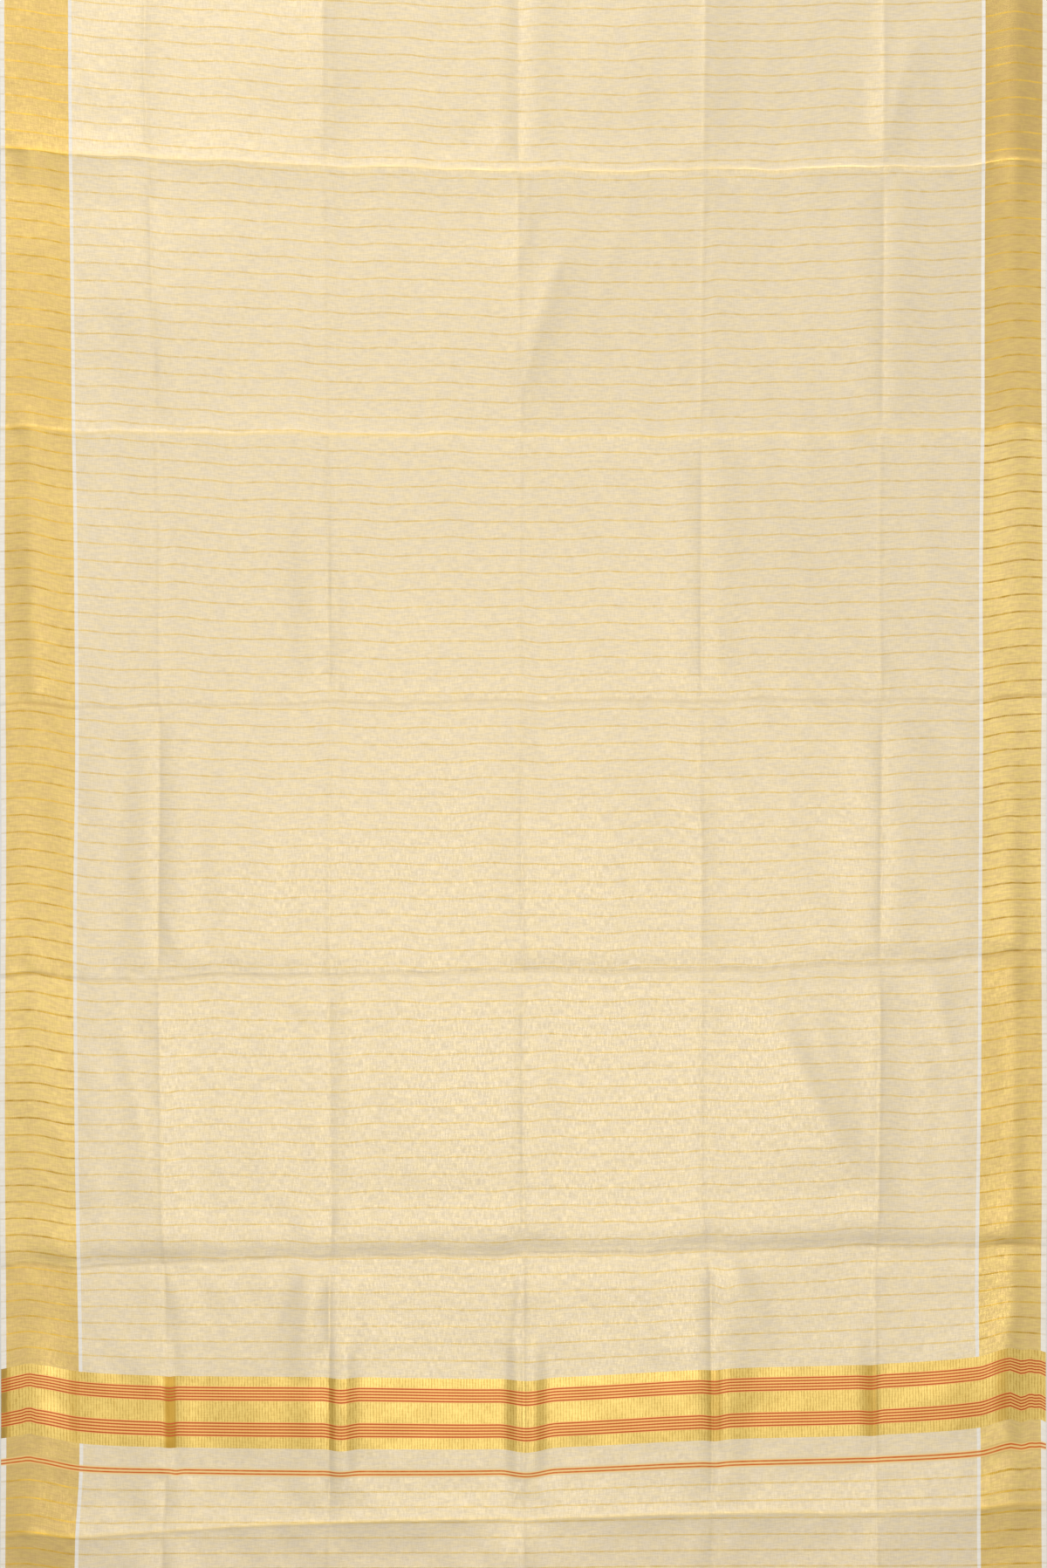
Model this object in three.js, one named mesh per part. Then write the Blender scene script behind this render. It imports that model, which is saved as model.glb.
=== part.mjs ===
// A handloom tissue saree laid out flat on a surface, at its real size, in millimetres.
// One woven length: a cream and gold ground with a gold border along each side, a white line
// inside each border, a white selvedge outside it, and a gold band and a narrow orange line
// near the end that hangs over the shoulder (the pallu). A narrow hem closes each cut end.
// The cloth was stored folded, so a grid of fold creases stands up from it in low ridges.
//
// X runs across the cloth, Y along it from the pallu end to the plain end, and Z is up.
// "across" and "along" below are places on the cloth before it was laid down: across from the
// left outer edge, along from the pallu end.

import * as THREE from 'three';

// Driving sizes
const CLOTH_WIDTH = 1170;
const CLOTH_LENGTH = 5500;
const WALL = 1.5;
const SEAM_GAP = 0.3;
const HEM_WIDTH = 8;

// A hem's thickness from its outer edge, which is round, to where it is sewn down
const HEM_PROFILE = [
  { at: 0, wall: 1.3 },
  { at: 0.18, wall: 2.5 },
  { at: 0.5, wall: 2.8 },
  { at: 0.85, wall: 2.6 },
  { at: 1, wall: 1.7 },
];

// The weave from the left edge to the right: where each strip starts, across the cloth
const STRIPS = [
  { name: 'selvedge_left', from: 0, to: 5.5, finish: 'white' },
  { name: 'border_left', from: 5.5, to: 82, finish: 'gold' },
  { name: 'line_left', from: 82, to: 86, finish: 'white' },
  { name: 'ground', from: 86, to: 1094, finish: 'tissue' },
  { name: 'line_right', from: 1094, to: 1098, finish: 'white' },
  { name: 'border_right', from: 1098, to: 1164.5, finish: 'gold' },
  { name: 'selvedge_right', from: 1164.5, to: CLOTH_WIDTH, finish: 'white' },
];

const GROUND = STRIPS.find((strip) => strip.name === 'ground');

// The pallu end: where its woven bands lie, along the cloth
const ORANGE_LINE = { from: 222.5, to: 232.5 };
const GOLD_BAND = { from: 253.5, to: 332 };

// Folds across the cloth, a row for each: its place along the cloth at mid width, how much
// further along it reaches the left and right edges, and its height on the side before it and
// the side beyond. A fold with positive heights stands up as a ridge, and one with negative
// heights lies down with a low swell on each side.
const FIRST_FOLDS = [
  { along: 176, left: -26, right: 3, before: 3.2, beyond: 3.2 },
  { along: 470, left: -20, right: -12, before: -0.8, beyond: -2 },
  { along: 786, left: -16, right: 5, before: -1.3, beyond: -1.5 },
  { along: 1089, left: -22, right: -8, before: -0.5, beyond: -0.7 },
  { along: 1385, left: -18, right: -4, before: 2.4, beyond: 2.4 },
  { along: 1681, left: -11, right: -3, before: 3.2, beyond: 3.2 },
];
const LATER_FOLD_PITCH = 302;
const LATER_FOLD_HEIGHTS = [
  { before: -1.2, beyond: -1.6 },
  { before: 2.4, beyond: 2.4 },
  { before: 2.2, beyond: 2.2 },
  { before: -1.4, beyond: -1 },
  { before: -0.8, beyond: -1.2 },
  { before: 2.4, beyond: 2.4 },
  { before: -1.5, beyond: -0.9 },
  { before: -1, beyond: -1.3 },
  { before: 2.6, beyond: 2.6 },
  { before: 2, beyond: 2 },
  { before: -1.2, beyond: -1.5 },
  { before: 2.4, beyond: 2.4 },
];
const FOLD_REACH = 72;

// Folds along the cloth: a row for each place along it, and the five folds' places across it
const LONG_FOLDS = [
  { along: 0, across: [181, 366, 585, 796, 982] },
  { along: 440, across: [181, 366, 585, 796, 982] },
  { along: 520, across: [179, 369, 585, 784, 985] },
  { along: 1480, across: [175, 366, 581, 783, 984] },
  { along: 1800, across: [166, 364, 578, 787, 986] },
  { along: 2300, across: [180, 366, 582, 790, 984] },
  { along: CLOTH_LENGTH, across: [180, 366, 582, 790, 984] },
];

// The five long folds' heights in each panel between two cross folds, from the pallu end.
// Panels past the last row repeat the last two rows in turn.
const LONG_FOLD_HEIGHTS = [
  [-1, 1.4, 2, -1.4, 1.4],
  [-1.1, -1.3, 1.8, -1.3, 0.9],
  [1, -0.8, -0.7, 1, 0.9],
  [-0.8, 0.8, 0.9, 0.9, -0.8],
  [0.9, -0.8, 0.8, -0.8, 0.9],
  [-0.8, 0.8, 1.4, 1.1, -0.8],
  [2, 1.6, -1.4, 1.6, 1.8],
  [-1.3, 1.6, 1.8, -1.4, 1.4],
  [1.4, -1.3, -1.4, 1.6, -1.3],
];
const LONG_FOLD_REACH = 52;
const LONG_FOLD_FADE = 46;

// Soft creases that fan out from where folds cross: from one end to the other, in cloth places
const DRAG_FOLDS = [
  { from: [836, 782], to: [990, 490], height: 2.4, reach: 62 },
  { from: [1040, 790], to: [1072, 650], height: 1.8, reach: 44 },
  { from: [632, 1600], to: [572, 1400], height: 2.2, reach: 46 },
  { from: [363, 476], to: [322, 330], height: 2.4, reach: 48 },
  { from: [806, 476], to: [872, 350], height: 2.6, reach: 48 },
  { from: [676, 470], to: [744, 340], height: 1.8, reach: 44 },
  { from: [1024, 1850], to: [984, 1680], height: 2.4, reach: 48 },
  { from: [590, 180], to: [520, 60], height: 2.6, reach: 46 },
  { from: [300, 2590], to: [480, 2300], height: 3.6, reach: 62 },
  { from: [870, 3190], to: [690, 2900], height: 3.6, reach: 62 },
  { from: [420, 3790], to: [290, 3540], height: 3.2, reach: 56 },
  { from: [630, 4700], to: [830, 4420], height: 3.6, reach: 62 },
  { from: [220, 5010], to: [390, 4740], height: 3.2, reach: 56 },
];

// Soft rolls along the two heavy gold borders, which rise and sink along the cloth: each
// is highest at its crest, and again a roll's length further on
const BORDER_ROLLS = [
  { across: 36, height: 1.2, reach: 34, crest: 1230, length: 1560 },
  { across: 1134, height: 1.5, reach: 34, crest: 1800, length: 1240 },
];

// Between the folds the cloth swells a little off the surface, in waves across each panel that
// shift from one panel to the next. What would lift it less than the rest height leaves it
// lying flat. Everything is lower at the side edges, by the edge share, and flat at the hems.
const SWELL = { height: 3.2, waves: 3, shift: 1.9 };
const REST_HEIGHT = 1;
const EDGE = { share: 0.5, reach: 40 };
const HEM_REACH = 60;

// How far the weft bows from a straight line, in mm towards the plain end, a row for each place
// along the cloth: on the left edge, border and line, on the five long folds, and on the right
// line, border and edge. The two shifts move the lines inside the borders across the cloth.
const BOW_PLACES = { left: [0, 32, 84], folds: [181, 366, 585, 796, 982], right: [1096, 1131, CLOTH_WIDTH] };
const BOW_ROWS = [
  { along: 0, left: [0, 0, 0], folds: [0, 0, 0, 0, 0], right: [0, 0, 0], shift: [0, 0] },
  { along: 156, left: [5, 6, -2], folds: [-1, -1, 0, 3, 4], right: [5, 8, 9], shift: [2, -2] },
  { along: 228, left: [11, 14, 4], folds: [1, -1, 0, 9, 14], right: [21, 30, 31], shift: [6, -1.5] },
  { along: 312, left: [11, 17, 8], folds: [3, 2, 0, 11, 16], right: [25, 36, 32], shift: [5.5, -3] },
  { along: 439, left: [7, 9, 2], folds: [2, 0, 0, 7, 15], right: [19, 22, 23], shift: [4, -4] },
  { along: 634, left: [3, 4, -4], folds: [-4, -5, 0, 3, 9], right: [11, 19, 22], shift: [1.5, -2] },
  { along: 839, left: [14, 16, 5], folds: [3, 1, 0, 2, 8], right: [12, 18, 18], shift: [-1, 0] },
  { along: 1034, left: [16, 17, 8], folds: [4, 0, 0, 2, 5], right: [8, 14, 15], shift: [1.5, 1] },
  { along: 1229, left: [24, 24, 16], folds: [9, 2, 0, 2, 7], right: [9, 14, 14], shift: [1, 0] },
  { along: 1433, left: [28, 27, 20], folds: [13, 4, 0, 1, 6], right: [9, 14, 13], shift: [-3, 3] },
  { along: 1820, left: [38, 36, 27], folds: [21, 8, 0, 1, 5], right: [8, 14, 11], shift: [-6, 3] },
  { along: 2600, left: [14, 13, 10], folds: [7, 3, 0, 1, 2], right: [3, 5, 4], shift: [-2, 1] },
  { along: 3500, left: [0, 0, 0], folds: [0, 0, 0, 0, 0], right: [0, 0, 0], shift: [0, 0] },
  { along: CLOTH_LENGTH, left: [0, 0, 0], folds: [0, 0, 0, 0, 0], right: [0, 0, 0], shift: [0, 0] },
];
const EDGE_WAVE = { depth: 1.6, length: 610, ends: 100 };

// How finely the sheet is divided. Past the fine panels, which lie nearest the pallu, only the
// rows next to each cross fold are kept. The stretches of the body meet on the folds named.
const ROW_STEP = 50;
const COLUMN_STEP = 50;
const FINE_PANELS = 6;
const STRETCH_FOLDS = [5, 9, 13];

const CROSS_FOLDS = [
  ...FIRST_FOLDS,
  ...LATER_FOLD_HEIGHTS.map((heights, i) => ({
    ...straightRow(FIRST_FOLDS[FIRST_FOLDS.length - 1].along + LATER_FOLD_PITCH * (i + 1)),
    ...heights,
  })),
];

// A smooth curve through knots, by cubic pieces whose slopes come from the neighbouring knots
function smoothCurve(places, values, at) {
  const last = places.length - 1;
  if (at <= places[0]) return values[0];
  if (at >= places[last]) return values[last];
  let i = 0;
  while (at > places[i + 1]) i += 1;
  const slope = (k) => {
    const low = Math.max(0, k - 1);
    const high = Math.min(last, k + 1);
    return (values[high] - values[low]) / (places[high] - places[low]);
  };
  const span = places[i + 1] - places[i];
  const t = (at - places[i]) / span;
  const rest = 1 - t;
  return (
    values[i] * (1 + 2 * t) * rest * rest +
    slope(i) * span * t * rest * rest +
    values[i + 1] * t * t * (3 - 2 * t) -
    slope(i + 1) * span * t * t * rest
  );
}

function straightCurve(places, values, at) {
  let i = 0;
  while (i < places.length - 2 && at > places[i + 1]) i += 1;
  const t = THREE.MathUtils.clamp((at - places[i]) / (places[i + 1] - places[i]), 0, 1);
  return values[i] + (values[i + 1] - values[i]) * t;
}

const BOW_ALONG = BOW_ROWS.map((row) => row.along);
const LONG_ALONG = LONG_FOLDS.map((row) => row.along);

// The bow at the named places across the cloth, and the two shifts, at a place along it
function bowAlong(along) {
  const read = (name, i) => smoothCurve(BOW_ALONG, BOW_ROWS.map((row) => row[name][i]), along);
  return {
    bow: Object.entries(BOW_PLACES).flatMap(([name, places]) => places.map((_, i) => read(name, i))),
    shift: [0, 1].map((i) => read('shift', i)),
  };
}

function longFoldAcross(index, along) {
  return straightCurve(LONG_ALONG, LONG_FOLDS.map((row) => row.across[index]), along);
}

// The place across the cloth of a column of the grid: columns follow the long folds
function columnAcross(column, along) {
  if (column <= GROUND.from || column >= GROUND.to) return column;
  const start = LONG_FOLDS[0].across;
  const places = [GROUND.from, ...start, GROUND.to];
  const leans = [0, ...start.map((across, i) => longFoldAcross(i, along) - across), 0];
  return column + straightCurve(places, leans, column);
}

function straightRow(along) {
  return { along, left: 0, right: 0 };
}

function movedRow(row, by) {
  return { ...row, along: row.along + by };
}

// How far along the cloth a cross fold, or a row of the grid, lies at a place across it
function alongAt(line, across) {
  const side = across / (CLOTH_WIDTH / 2) - 1;
  return line.along + (side < 0 ? line.left : line.right) * side * side;
}

// A fold's height at a distance from its line: a ridge, or a trough with a swell each side,
// highest a third of the way out
function foldHeight(height, distance, reach) {
  const t = Math.abs(distance) / reach;
  if (t >= 1) return 0;
  const rest = (1 - t) * (1 - t);
  const swellTop = (1 / 3) * (1 - 1 / 3) ** 2;
  return height > 0 ? height * rest : (-height * t * rest) / swellTop;
}

function fade(distance, reach) {
  return THREE.MathUtils.smoothstep(distance, 0, reach);
}

// The height of a soft crease whose line runs from one cloth place to another
function dragHeight(fold, across, along) {
  const dx = fold.to[0] - fold.from[0];
  const dy = fold.to[1] - fold.from[1];
  const size = Math.hypot(dx, dy);
  const t = ((across - fold.from[0]) * dx + (along - fold.from[1]) * dy) / (size * size);
  if (t <= 0 || t >= 1) return 0;
  const off = ((across - fold.from[0]) * dy - (along - fold.from[1]) * dx) / size;
  return foldHeight(fold.height, off, fold.reach) * Math.sin(Math.PI * t);
}

function panelAt(across, along) {
  const next = CROSS_FOLDS.findIndex((fold) => alongAt(fold, across) > along);
  return next < 0 ? CROSS_FOLDS.length : next;
}

function longFoldHeights(panel) {
  const rows = LONG_FOLD_HEIGHTS.length;
  return LONG_FOLD_HEIGHTS[panel < rows ? panel : rows - 2 + ((panel - rows) % 2)];
}

// The height of the cloth's underside over the surface that it lies on
function liftAt(across, along) {
  const panel = panelAt(across, along);
  const start = alongAt(CROSS_FOLDS[panel - 1] ?? straightRow(0), across);
  const end = alongAt(CROSS_FOLDS[panel] ?? straightRow(CLOTH_LENGTH), across);
  const inside = fade(along - start, LONG_FOLD_FADE) * fade(end - along, LONG_FOLD_FADE);
  let lift = -REST_HEIGHT;
  for (const fold of CROSS_FOLDS) {
    const off = along - alongAt(fold, across);
    lift += foldHeight(off < 0 ? fold.before : fold.beyond, off, FOLD_REACH);
  }
  longFoldHeights(panel).forEach((height, i) => {
    const off = across - longFoldAcross(i, along);
    lift += foldHeight(height, off, LONG_FOLD_REACH) * inside;
  });
  for (const fold of DRAG_FOLDS) lift += dragHeight(fold, across, along);
  for (const roll of BORDER_ROLLS) {
    const rise = Math.cos((Math.PI * (along - roll.crest)) / roll.length) ** 2;
    lift += foldHeight(roll.height * rise, across - roll.across, roll.reach);
  }
  const crown = Math.sin((Math.PI * (along - start)) / (end - start));
  const wave = Math.sin((Math.PI * SWELL.waves * across) / CLOTH_WIDTH + panel * SWELL.shift);
  lift += SWELL.height * crown * wave * wave;
  const ends = fade(along - HEM_WIDTH, HEM_REACH) * fade(CLOTH_LENGTH - HEM_WIDTH - along, HEM_REACH);
  const inwards = fade(Math.min(across, CLOTH_WIDTH - across), EDGE.reach);
  return Math.max(0, lift) * ends * THREE.MathUtils.lerp(EDGE.share, 1, inwards);
}

// The point of the laid cloth's underside for a place on the cloth
function clothPoint(across, along) {
  const { bow, shift } = bowAlong(along);
  const rise = smoothCurve(Object.values(BOW_PLACES).flat(), bow, across);
  const middle = CLOTH_WIDTH / 2;
  const places = [0, BOW_PLACES.left[2], middle, BOW_PLACES.right[0], CLOTH_WIDTH];
  const aside = straightCurve(places, [0, shift[0], 0, shift[1], 0], across);
  const side = across / middle - 1;
  const wave = Math.sin((Math.PI * along) / EDGE_WAVE.length) ** 2 * side ** 3;
  const ends = fade(along, EDGE_WAVE.ends) * fade(CLOTH_LENGTH - along, EDGE_WAVE.ends);
  return new THREE.Vector3(
    across - middle + aside - EDGE_WAVE.depth * wave * ends,
    along - CLOTH_LENGTH / 2 + rise,
    liftAt(across, along),
  );
}

// The lift in the middle of one square of the grid, which chooses the way it is split
function middleLift(left, right, near, far) {
  const along = (near.along + far.along) / 2;
  const across = columnAcross((left + right) / 2, along);
  return liftAt(across, (alongAt(near, across) + alongAt(far, across)) / 2);
}

// A closed sheet over a grid of columns and rows, with its wall standing on the underside
function sheetSolid(columns, rows, wallAt) {
  const positions = [];
  const index = [];
  const wide = columns.length;
  const layer = wide * rows.length;
  for (const raised of [1, 0]) {
    for (const row of rows) {
      for (const column of columns) {
        const across = columnAcross(column, row.along);
        const point = clothPoint(across, alongAt(row, across));
        positions.push(point.x, point.y, point.z + raised * wallAt(row));
      }
    }
  }
  const quad = (a, b, c, d) => index.push(a, b, c, a, c, d);
  for (let r = 0; r < rows.length - 1; r += 1) {
    for (let c = 0; c < wide - 1; c += 1) {
      const corners = [r * wide + c, r * wide + c + 1, (r + 1) * wide + c + 1, (r + 1) * wide + c];
      const middle = middleLift(columns[c], columns[c + 1], rows[r], rows[r + 1]);
      const miss = (i, j) => {
        const heights = [corners[i], corners[j]].map((corner) => positions[3 * (layer + corner) + 2]);
        return Math.abs((heights[0] + heights[1]) / 2 - middle);
      };
      if (miss(1, 3) < miss(0, 2)) corners.push(corners.shift());
      const [k, l, m, n] = corners;
      quad(k, l, m, n);
      quad(layer + k, layer + n, layer + m, layer + l);
    }
    const left = r * wide;
    const right = left + wide - 1;
    quad(left, left + wide, layer + left + wide, layer + left);
    quad(right, layer + right, layer + right + wide, right + wide);
  }
  const top = layer - wide;
  for (let c = 0; c < wide - 1; c += 1) {
    quad(c, layer + c, layer + c + 1, c + 1);
    quad(top + c, top + c + 1, layer + top + c + 1, layer + top + c);
  }
  const geometry = new THREE.BufferGeometry();
  geometry.setAttribute('position', new THREE.Float32BufferAttribute(positions, 3));
  geometry.setIndex(index);
  geometry.computeVertexNormals();
  return geometry;
}

// The row that lies a share of the way from one row to another
function rowBetween(near, far, share) {
  return {
    along: THREE.MathUtils.lerp(near.along, far.along, share),
    left: THREE.MathUtils.lerp(near.left, far.left, share),
    right: THREE.MathUtils.lerp(near.right, far.right, share),
  };
}

// Rows from one row to another: a row on each cross fold between them, and steps between
function rowsBetween(first, last) {
  const folds = CROSS_FOLDS.filter((fold) => fold.along > first.along && fold.along < last.along);
  const stops = [first, ...folds, last];
  const rows = [first];
  for (let i = 0; i < stops.length - 1; i += 1) {
    const [near, far] = [stops[i], stops[i + 1]];
    const parts = Math.round((far.along - near.along) / ROW_STEP);
    const fine = panelAt(CLOTH_WIDTH / 2, near.along) <= FINE_PANELS;
    for (let step = 1; step < parts; step += 1) {
      if (fine || step === 1 || step === parts - 1) rows.push(rowBetween(near, far, step / parts));
    }
    rows.push(far);
  }
  return rows;
}

// Columns of the whole width: each strip's sides, the long folds and steps between them
function allColumns() {
  const columns = [...STRIPS.map((strip) => strip.from), CLOTH_WIDTH];
  columns.push(...BORDER_ROLLS.map((roll) => roll.across));
  const stops = [GROUND.from, ...LONG_FOLDS[0].across, GROUND.to];
  for (let i = 0; i < stops.length - 1; i += 1) {
    const parts = Math.round((stops[i + 1] - stops[i]) / COLUMN_STEP);
    for (let part = i > 0 ? 0 : 1; part < parts; part += 1) {
      columns.push(THREE.MathUtils.lerp(stops[i], stops[i + 1], part / parts));
    }
  }
  return columns.sort((a, b) => a - b);
}

const COLUMNS = allColumns();

// Columns of one strip, held back from its neighbours by half the gap
function stripColumns(strip) {
  const inset = SEAM_GAP / 2;
  const from = strip.from > 0 ? strip.from + inset : 0;
  const to = strip.to < CLOTH_WIDTH ? strip.to - inset : CLOTH_WIDTH;
  return [from, ...COLUMNS.filter((column) => column > strip.from && column < strip.to), to];
}

const FINISHES = {
  tissue: { color: 0xe6cf9e, roughness: 0.62, metalness: 0.15 },
  gold: { color: 0xd9b166, roughness: 0.42, metalness: 0.45 },
  white: { color: 0xeee6d6, roughness: 0.85, metalness: 0 },
  zari: { color: 0xe0b64f, roughness: 0.32, metalness: 0.7 },
  orange: { color: 0xd96a2e, roughness: 0.6, metalness: 0.1 },
};

function finishOf(name) {
  return new THREE.MeshStandardMaterial(FINISHES[name]);
}

function piece(name, finish, geometry) {
  const mesh = new THREE.Mesh(geometry, finishOf(finish));
  mesh.name = name;
  return mesh;
}

// One stretch of the cloth along its length, as a solid for each strip of the weave
function stretch(name, first, last) {
  const inset = SEAM_GAP / 2;
  const group = new THREE.Group();
  const rows = rowsBetween(movedRow(first, inset), movedRow(last, -inset));
  for (const strip of STRIPS) {
    const geometry = sheetSolid(stripColumns(strip), rows, () => WALL);
    group.add(piece(`${name}_${strip.name}`, strip.finish, geometry));
  }
  return group;
}

// A band woven from one outer edge to the other
function fullBand(name, finish, band) {
  const inset = SEAM_GAP / 2;
  const rows = rowsBetween(straightRow(band.from + inset), straightRow(band.to - inset));
  return piece(name, finish, sheetSolid(COLUMNS, rows, () => WALL));
}

// A narrow hem, turned twice, from an end of the cloth inwards
function hem(name, end, inwards) {
  const reach = inwards * (HEM_WIDTH - SEAM_GAP / 2);
  const rows = HEM_PROFILE.map(({ at, wall }) => ({ ...straightRow(end + reach * at), wall }));
  if (inwards < 0) rows.reverse();
  return piece(name, 'tissue', sheetSolid(COLUMNS, rows, (row) => row.wall));
}

function saree() {
  const group = new THREE.Group();
  const plainEnd = CLOTH_LENGTH - HEM_WIDTH;
  group.add(hem('hem_pallu', 0, 1));
  group.add(stretch('pallu_end', straightRow(HEM_WIDTH), straightRow(ORANGE_LINE.from)));
  group.add(fullBand('pallu_orange_line', 'orange', ORANGE_LINE));
  group.add(stretch('pallu_gap', straightRow(ORANGE_LINE.to), straightRow(GOLD_BAND.from)));
  group.add(fullBand('pallu_gold_band', 'zari', GOLD_BAND));
  const folds = STRETCH_FOLDS.map((number) => CROSS_FOLDS[number]);
  const cuts = [straightRow(GOLD_BAND.to), ...folds, straightRow(plainEnd)];
  for (let i = 0; i < cuts.length - 1; i += 1) {
    group.add(stretch(`body_${i + 1}`, cuts[i], cuts[i + 1]));
  }
  group.add(hem('hem_plain', CLOTH_LENGTH, -1));
  return group;
}

export default saree();
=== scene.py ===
"""A handloom tissue saree laid out flat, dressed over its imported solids.

The cloth is built as thin shells on the solids' own form. Every shell is worked out from
places on the woven cloth, in millimetres: "across" from the left outer edge and "along" from
the pallu end. The laid cloth turns such a place into a point of the scene, in metres.
"""

import logging
import math
from dataclasses import dataclass, field
from enum import Enum
from typing import Sequence

import bpy
import numpy as np
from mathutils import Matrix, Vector


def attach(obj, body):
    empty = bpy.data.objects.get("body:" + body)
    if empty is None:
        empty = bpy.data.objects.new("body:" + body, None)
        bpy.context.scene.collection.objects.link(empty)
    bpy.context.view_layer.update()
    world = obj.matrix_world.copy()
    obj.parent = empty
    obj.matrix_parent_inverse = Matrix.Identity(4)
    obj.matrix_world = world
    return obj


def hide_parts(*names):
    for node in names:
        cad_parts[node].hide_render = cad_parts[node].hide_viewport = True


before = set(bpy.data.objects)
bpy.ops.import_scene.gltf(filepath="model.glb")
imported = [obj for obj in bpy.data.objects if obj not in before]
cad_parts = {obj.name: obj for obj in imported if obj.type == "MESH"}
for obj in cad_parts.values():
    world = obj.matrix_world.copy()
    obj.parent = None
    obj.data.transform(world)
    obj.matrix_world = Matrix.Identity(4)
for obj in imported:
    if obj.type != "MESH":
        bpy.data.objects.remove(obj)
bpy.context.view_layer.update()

BODY = "root"
MM = 0.001
Colour = tuple[float, float, float, float]

log = logging.getLogger("saree")

# The woven cloth, in millimetres
CLOTH_WIDTH = 1170.0
CLOTH_LENGTH = 5500.0
WALL = 1.0
TOP_HEIGHT = 1.25
DEEPEST_CREASE = 0.8
HEM_WIDTH = 8.0
GOLD_BAND = (253.5, 332.0)
ORANGE_LINE = (222.5, 232.5)

# The part of the cloth that the photograph shows
PHOTO_SIZE = (1200, 1797)
PHOTO_FIRST_ALONG = 120.0

# The two maps of each mesh: its places on the cloth, and its faces laid out apart
CLOTH_MAP = "cloth_metres"
BAKE_MAP = "OFBake"
# On the second map: where the top and the underside start, their size, and the walls' low and high side
BAKE_STARTS = ((0.01, 0.03), (0.51, 0.03))
BAKE_SIZE = (0.48, 0.94)
BAKE_WALLS = (0.004, 0.016)
# The angle between faces, in degrees, from which an edge is sharp
SHARP_ANGLE = 45.0


class Finish(Enum):
    """The finishes of the cloth, each the first word of its material's name."""

    TISSUE = "tissue"
    GOLD = "gold"
    WHITE = "white"
    ZARI = "zari"
    ORANGE = "orange"


@dataclass(frozen=True)
class Strip:
    """A strip of the weave that runs the length of the cloth.

    Args:
        name: The strip's part of a piece's name.
        start: Where it starts, across the cloth.
        end: Where it ends, across the cloth.
        finish: The finish of its threads.
    """

    name: str
    start: float
    end: float
    finish: Finish


STRIPS = (
    Strip("selvedge_left", 0.0, 5.5, Finish.WHITE),
    Strip("border_left", 5.5, 82.0, Finish.GOLD),
    Strip("line_left", 82.0, 86.0, Finish.WHITE),
    Strip("ground", 86.0, 1094.0, Finish.TISSUE),
    Strip("line_right", 1094.0, 1098.0, Finish.WHITE),
    Strip("border_right", 1098.0, 1164.5, Finish.GOLD),
    Strip("selvedge_right", 1164.5, CLOTH_WIDTH, Finish.WHITE),
)
GROUND = STRIPS[3]


@dataclass(frozen=True)
class Line:
    """A line across the cloth that bends towards its two ends.

    Args:
        along: Where it lies along the cloth, at mid width.
        left: How much further along it reaches the left edge.
        right: How much further along it reaches the right edge.
    """

    along: float
    left: float = 0.0
    right: float = 0.0

    def at(self, across: np.ndarray) -> np.ndarray:
        """Returns how far along the cloth the line lies at places across it."""
        side = across / (CLOTH_WIDTH / 2) - 1
        return self.along + np.where(side < 0, self.left, self.right) * side * side

    def towards(self, other: "Line", share: float) -> "Line":
        """Works out a line between this one and another.

        Args:
            other: The other line.
            share: How much of the way to it the new line lies, 0 to 1.

        Returns:
            The new line.
        """
        return Line(
            self.along + (other.along - self.along) * share,
            self.left + (other.left - self.left) * share,
            self.right + (other.right - self.right) * share,
        )


@dataclass(frozen=True)
class CrossFold:
    """A storage fold across the cloth.

    Args:
        line: Where it lies.
        before: The height of its ridge, or of the swell before it where it is negative.
        beyond: The height of its ridge, or of the swell beyond it where it is negative.
        crease: The height of the sharp crease pressed into its top, or its depth.
    """

    line: Line
    before: float
    beyond: float
    crease: float

    def lift(self, across: np.ndarray, along: np.ndarray) -> np.ndarray:
        """Returns the fold's height at places on the cloth."""
        off = along - self.line.at(across)
        return fold_height(np.where(off < 0, self.before, self.beyond), off, FOLD_REACH)


FIRST_FOLDS = (
    CrossFold(Line(176, -26, 3), 3.2, 3.2, 0.3),
    CrossFold(Line(470, -20, -12), -0.8, -2.0, -0.4),
    CrossFold(Line(786, -16, 5), -1.3, -1.5, -0.6),
    CrossFold(Line(1089, -22, -8), -0.5, -0.7, -0.5),
    CrossFold(Line(1385, -18, -4), 2.4, 2.4, 0.5),
    CrossFold(Line(1681, -11, -3), 3.2, 3.2, 0.6),
)
LATER_FOLD_PITCH = 302.0
LATER_FOLD_HEIGHTS = (
    (-1.2, -1.6), (2.4, 2.4), (2.2, 2.2), (-1.4, -1.0), (-0.8, -1.2), (2.4, 2.4),
    (-1.5, -0.9), (-1.0, -1.3), (2.6, 2.6), (2.0, 2.0), (-1.2, -1.5), (2.4, 2.4),
)
LATER_FOLD_CREASE = 0.35
CROSS_FOLDS = FIRST_FOLDS + tuple(
    CrossFold(
        Line(FIRST_FOLDS[-1].line.along + LATER_FOLD_PITCH * (i + 1)),
        *heights,
        math.copysign(LATER_FOLD_CREASE, heights[0]),
    )
    for i, heights in enumerate(LATER_FOLD_HEIGHTS)
)
# How far a cross fold reaches to each side
FOLD_REACH = 72.0

# Folds along the cloth: places along it, and the five folds' places across it there
LONG_FOLD_PLACES = (
    (0, (181, 366, 585, 796, 982)),
    (440, (181, 366, 585, 796, 982)),
    (520, (179, 369, 585, 784, 985)),
    (1480, (175, 366, 581, 783, 984)),
    (1800, (166, 364, 578, 787, 986)),
    (2300, (180, 366, 582, 790, 984)),
    (CLOTH_LENGTH, (180, 366, 582, 790, 984)),
)
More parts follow.
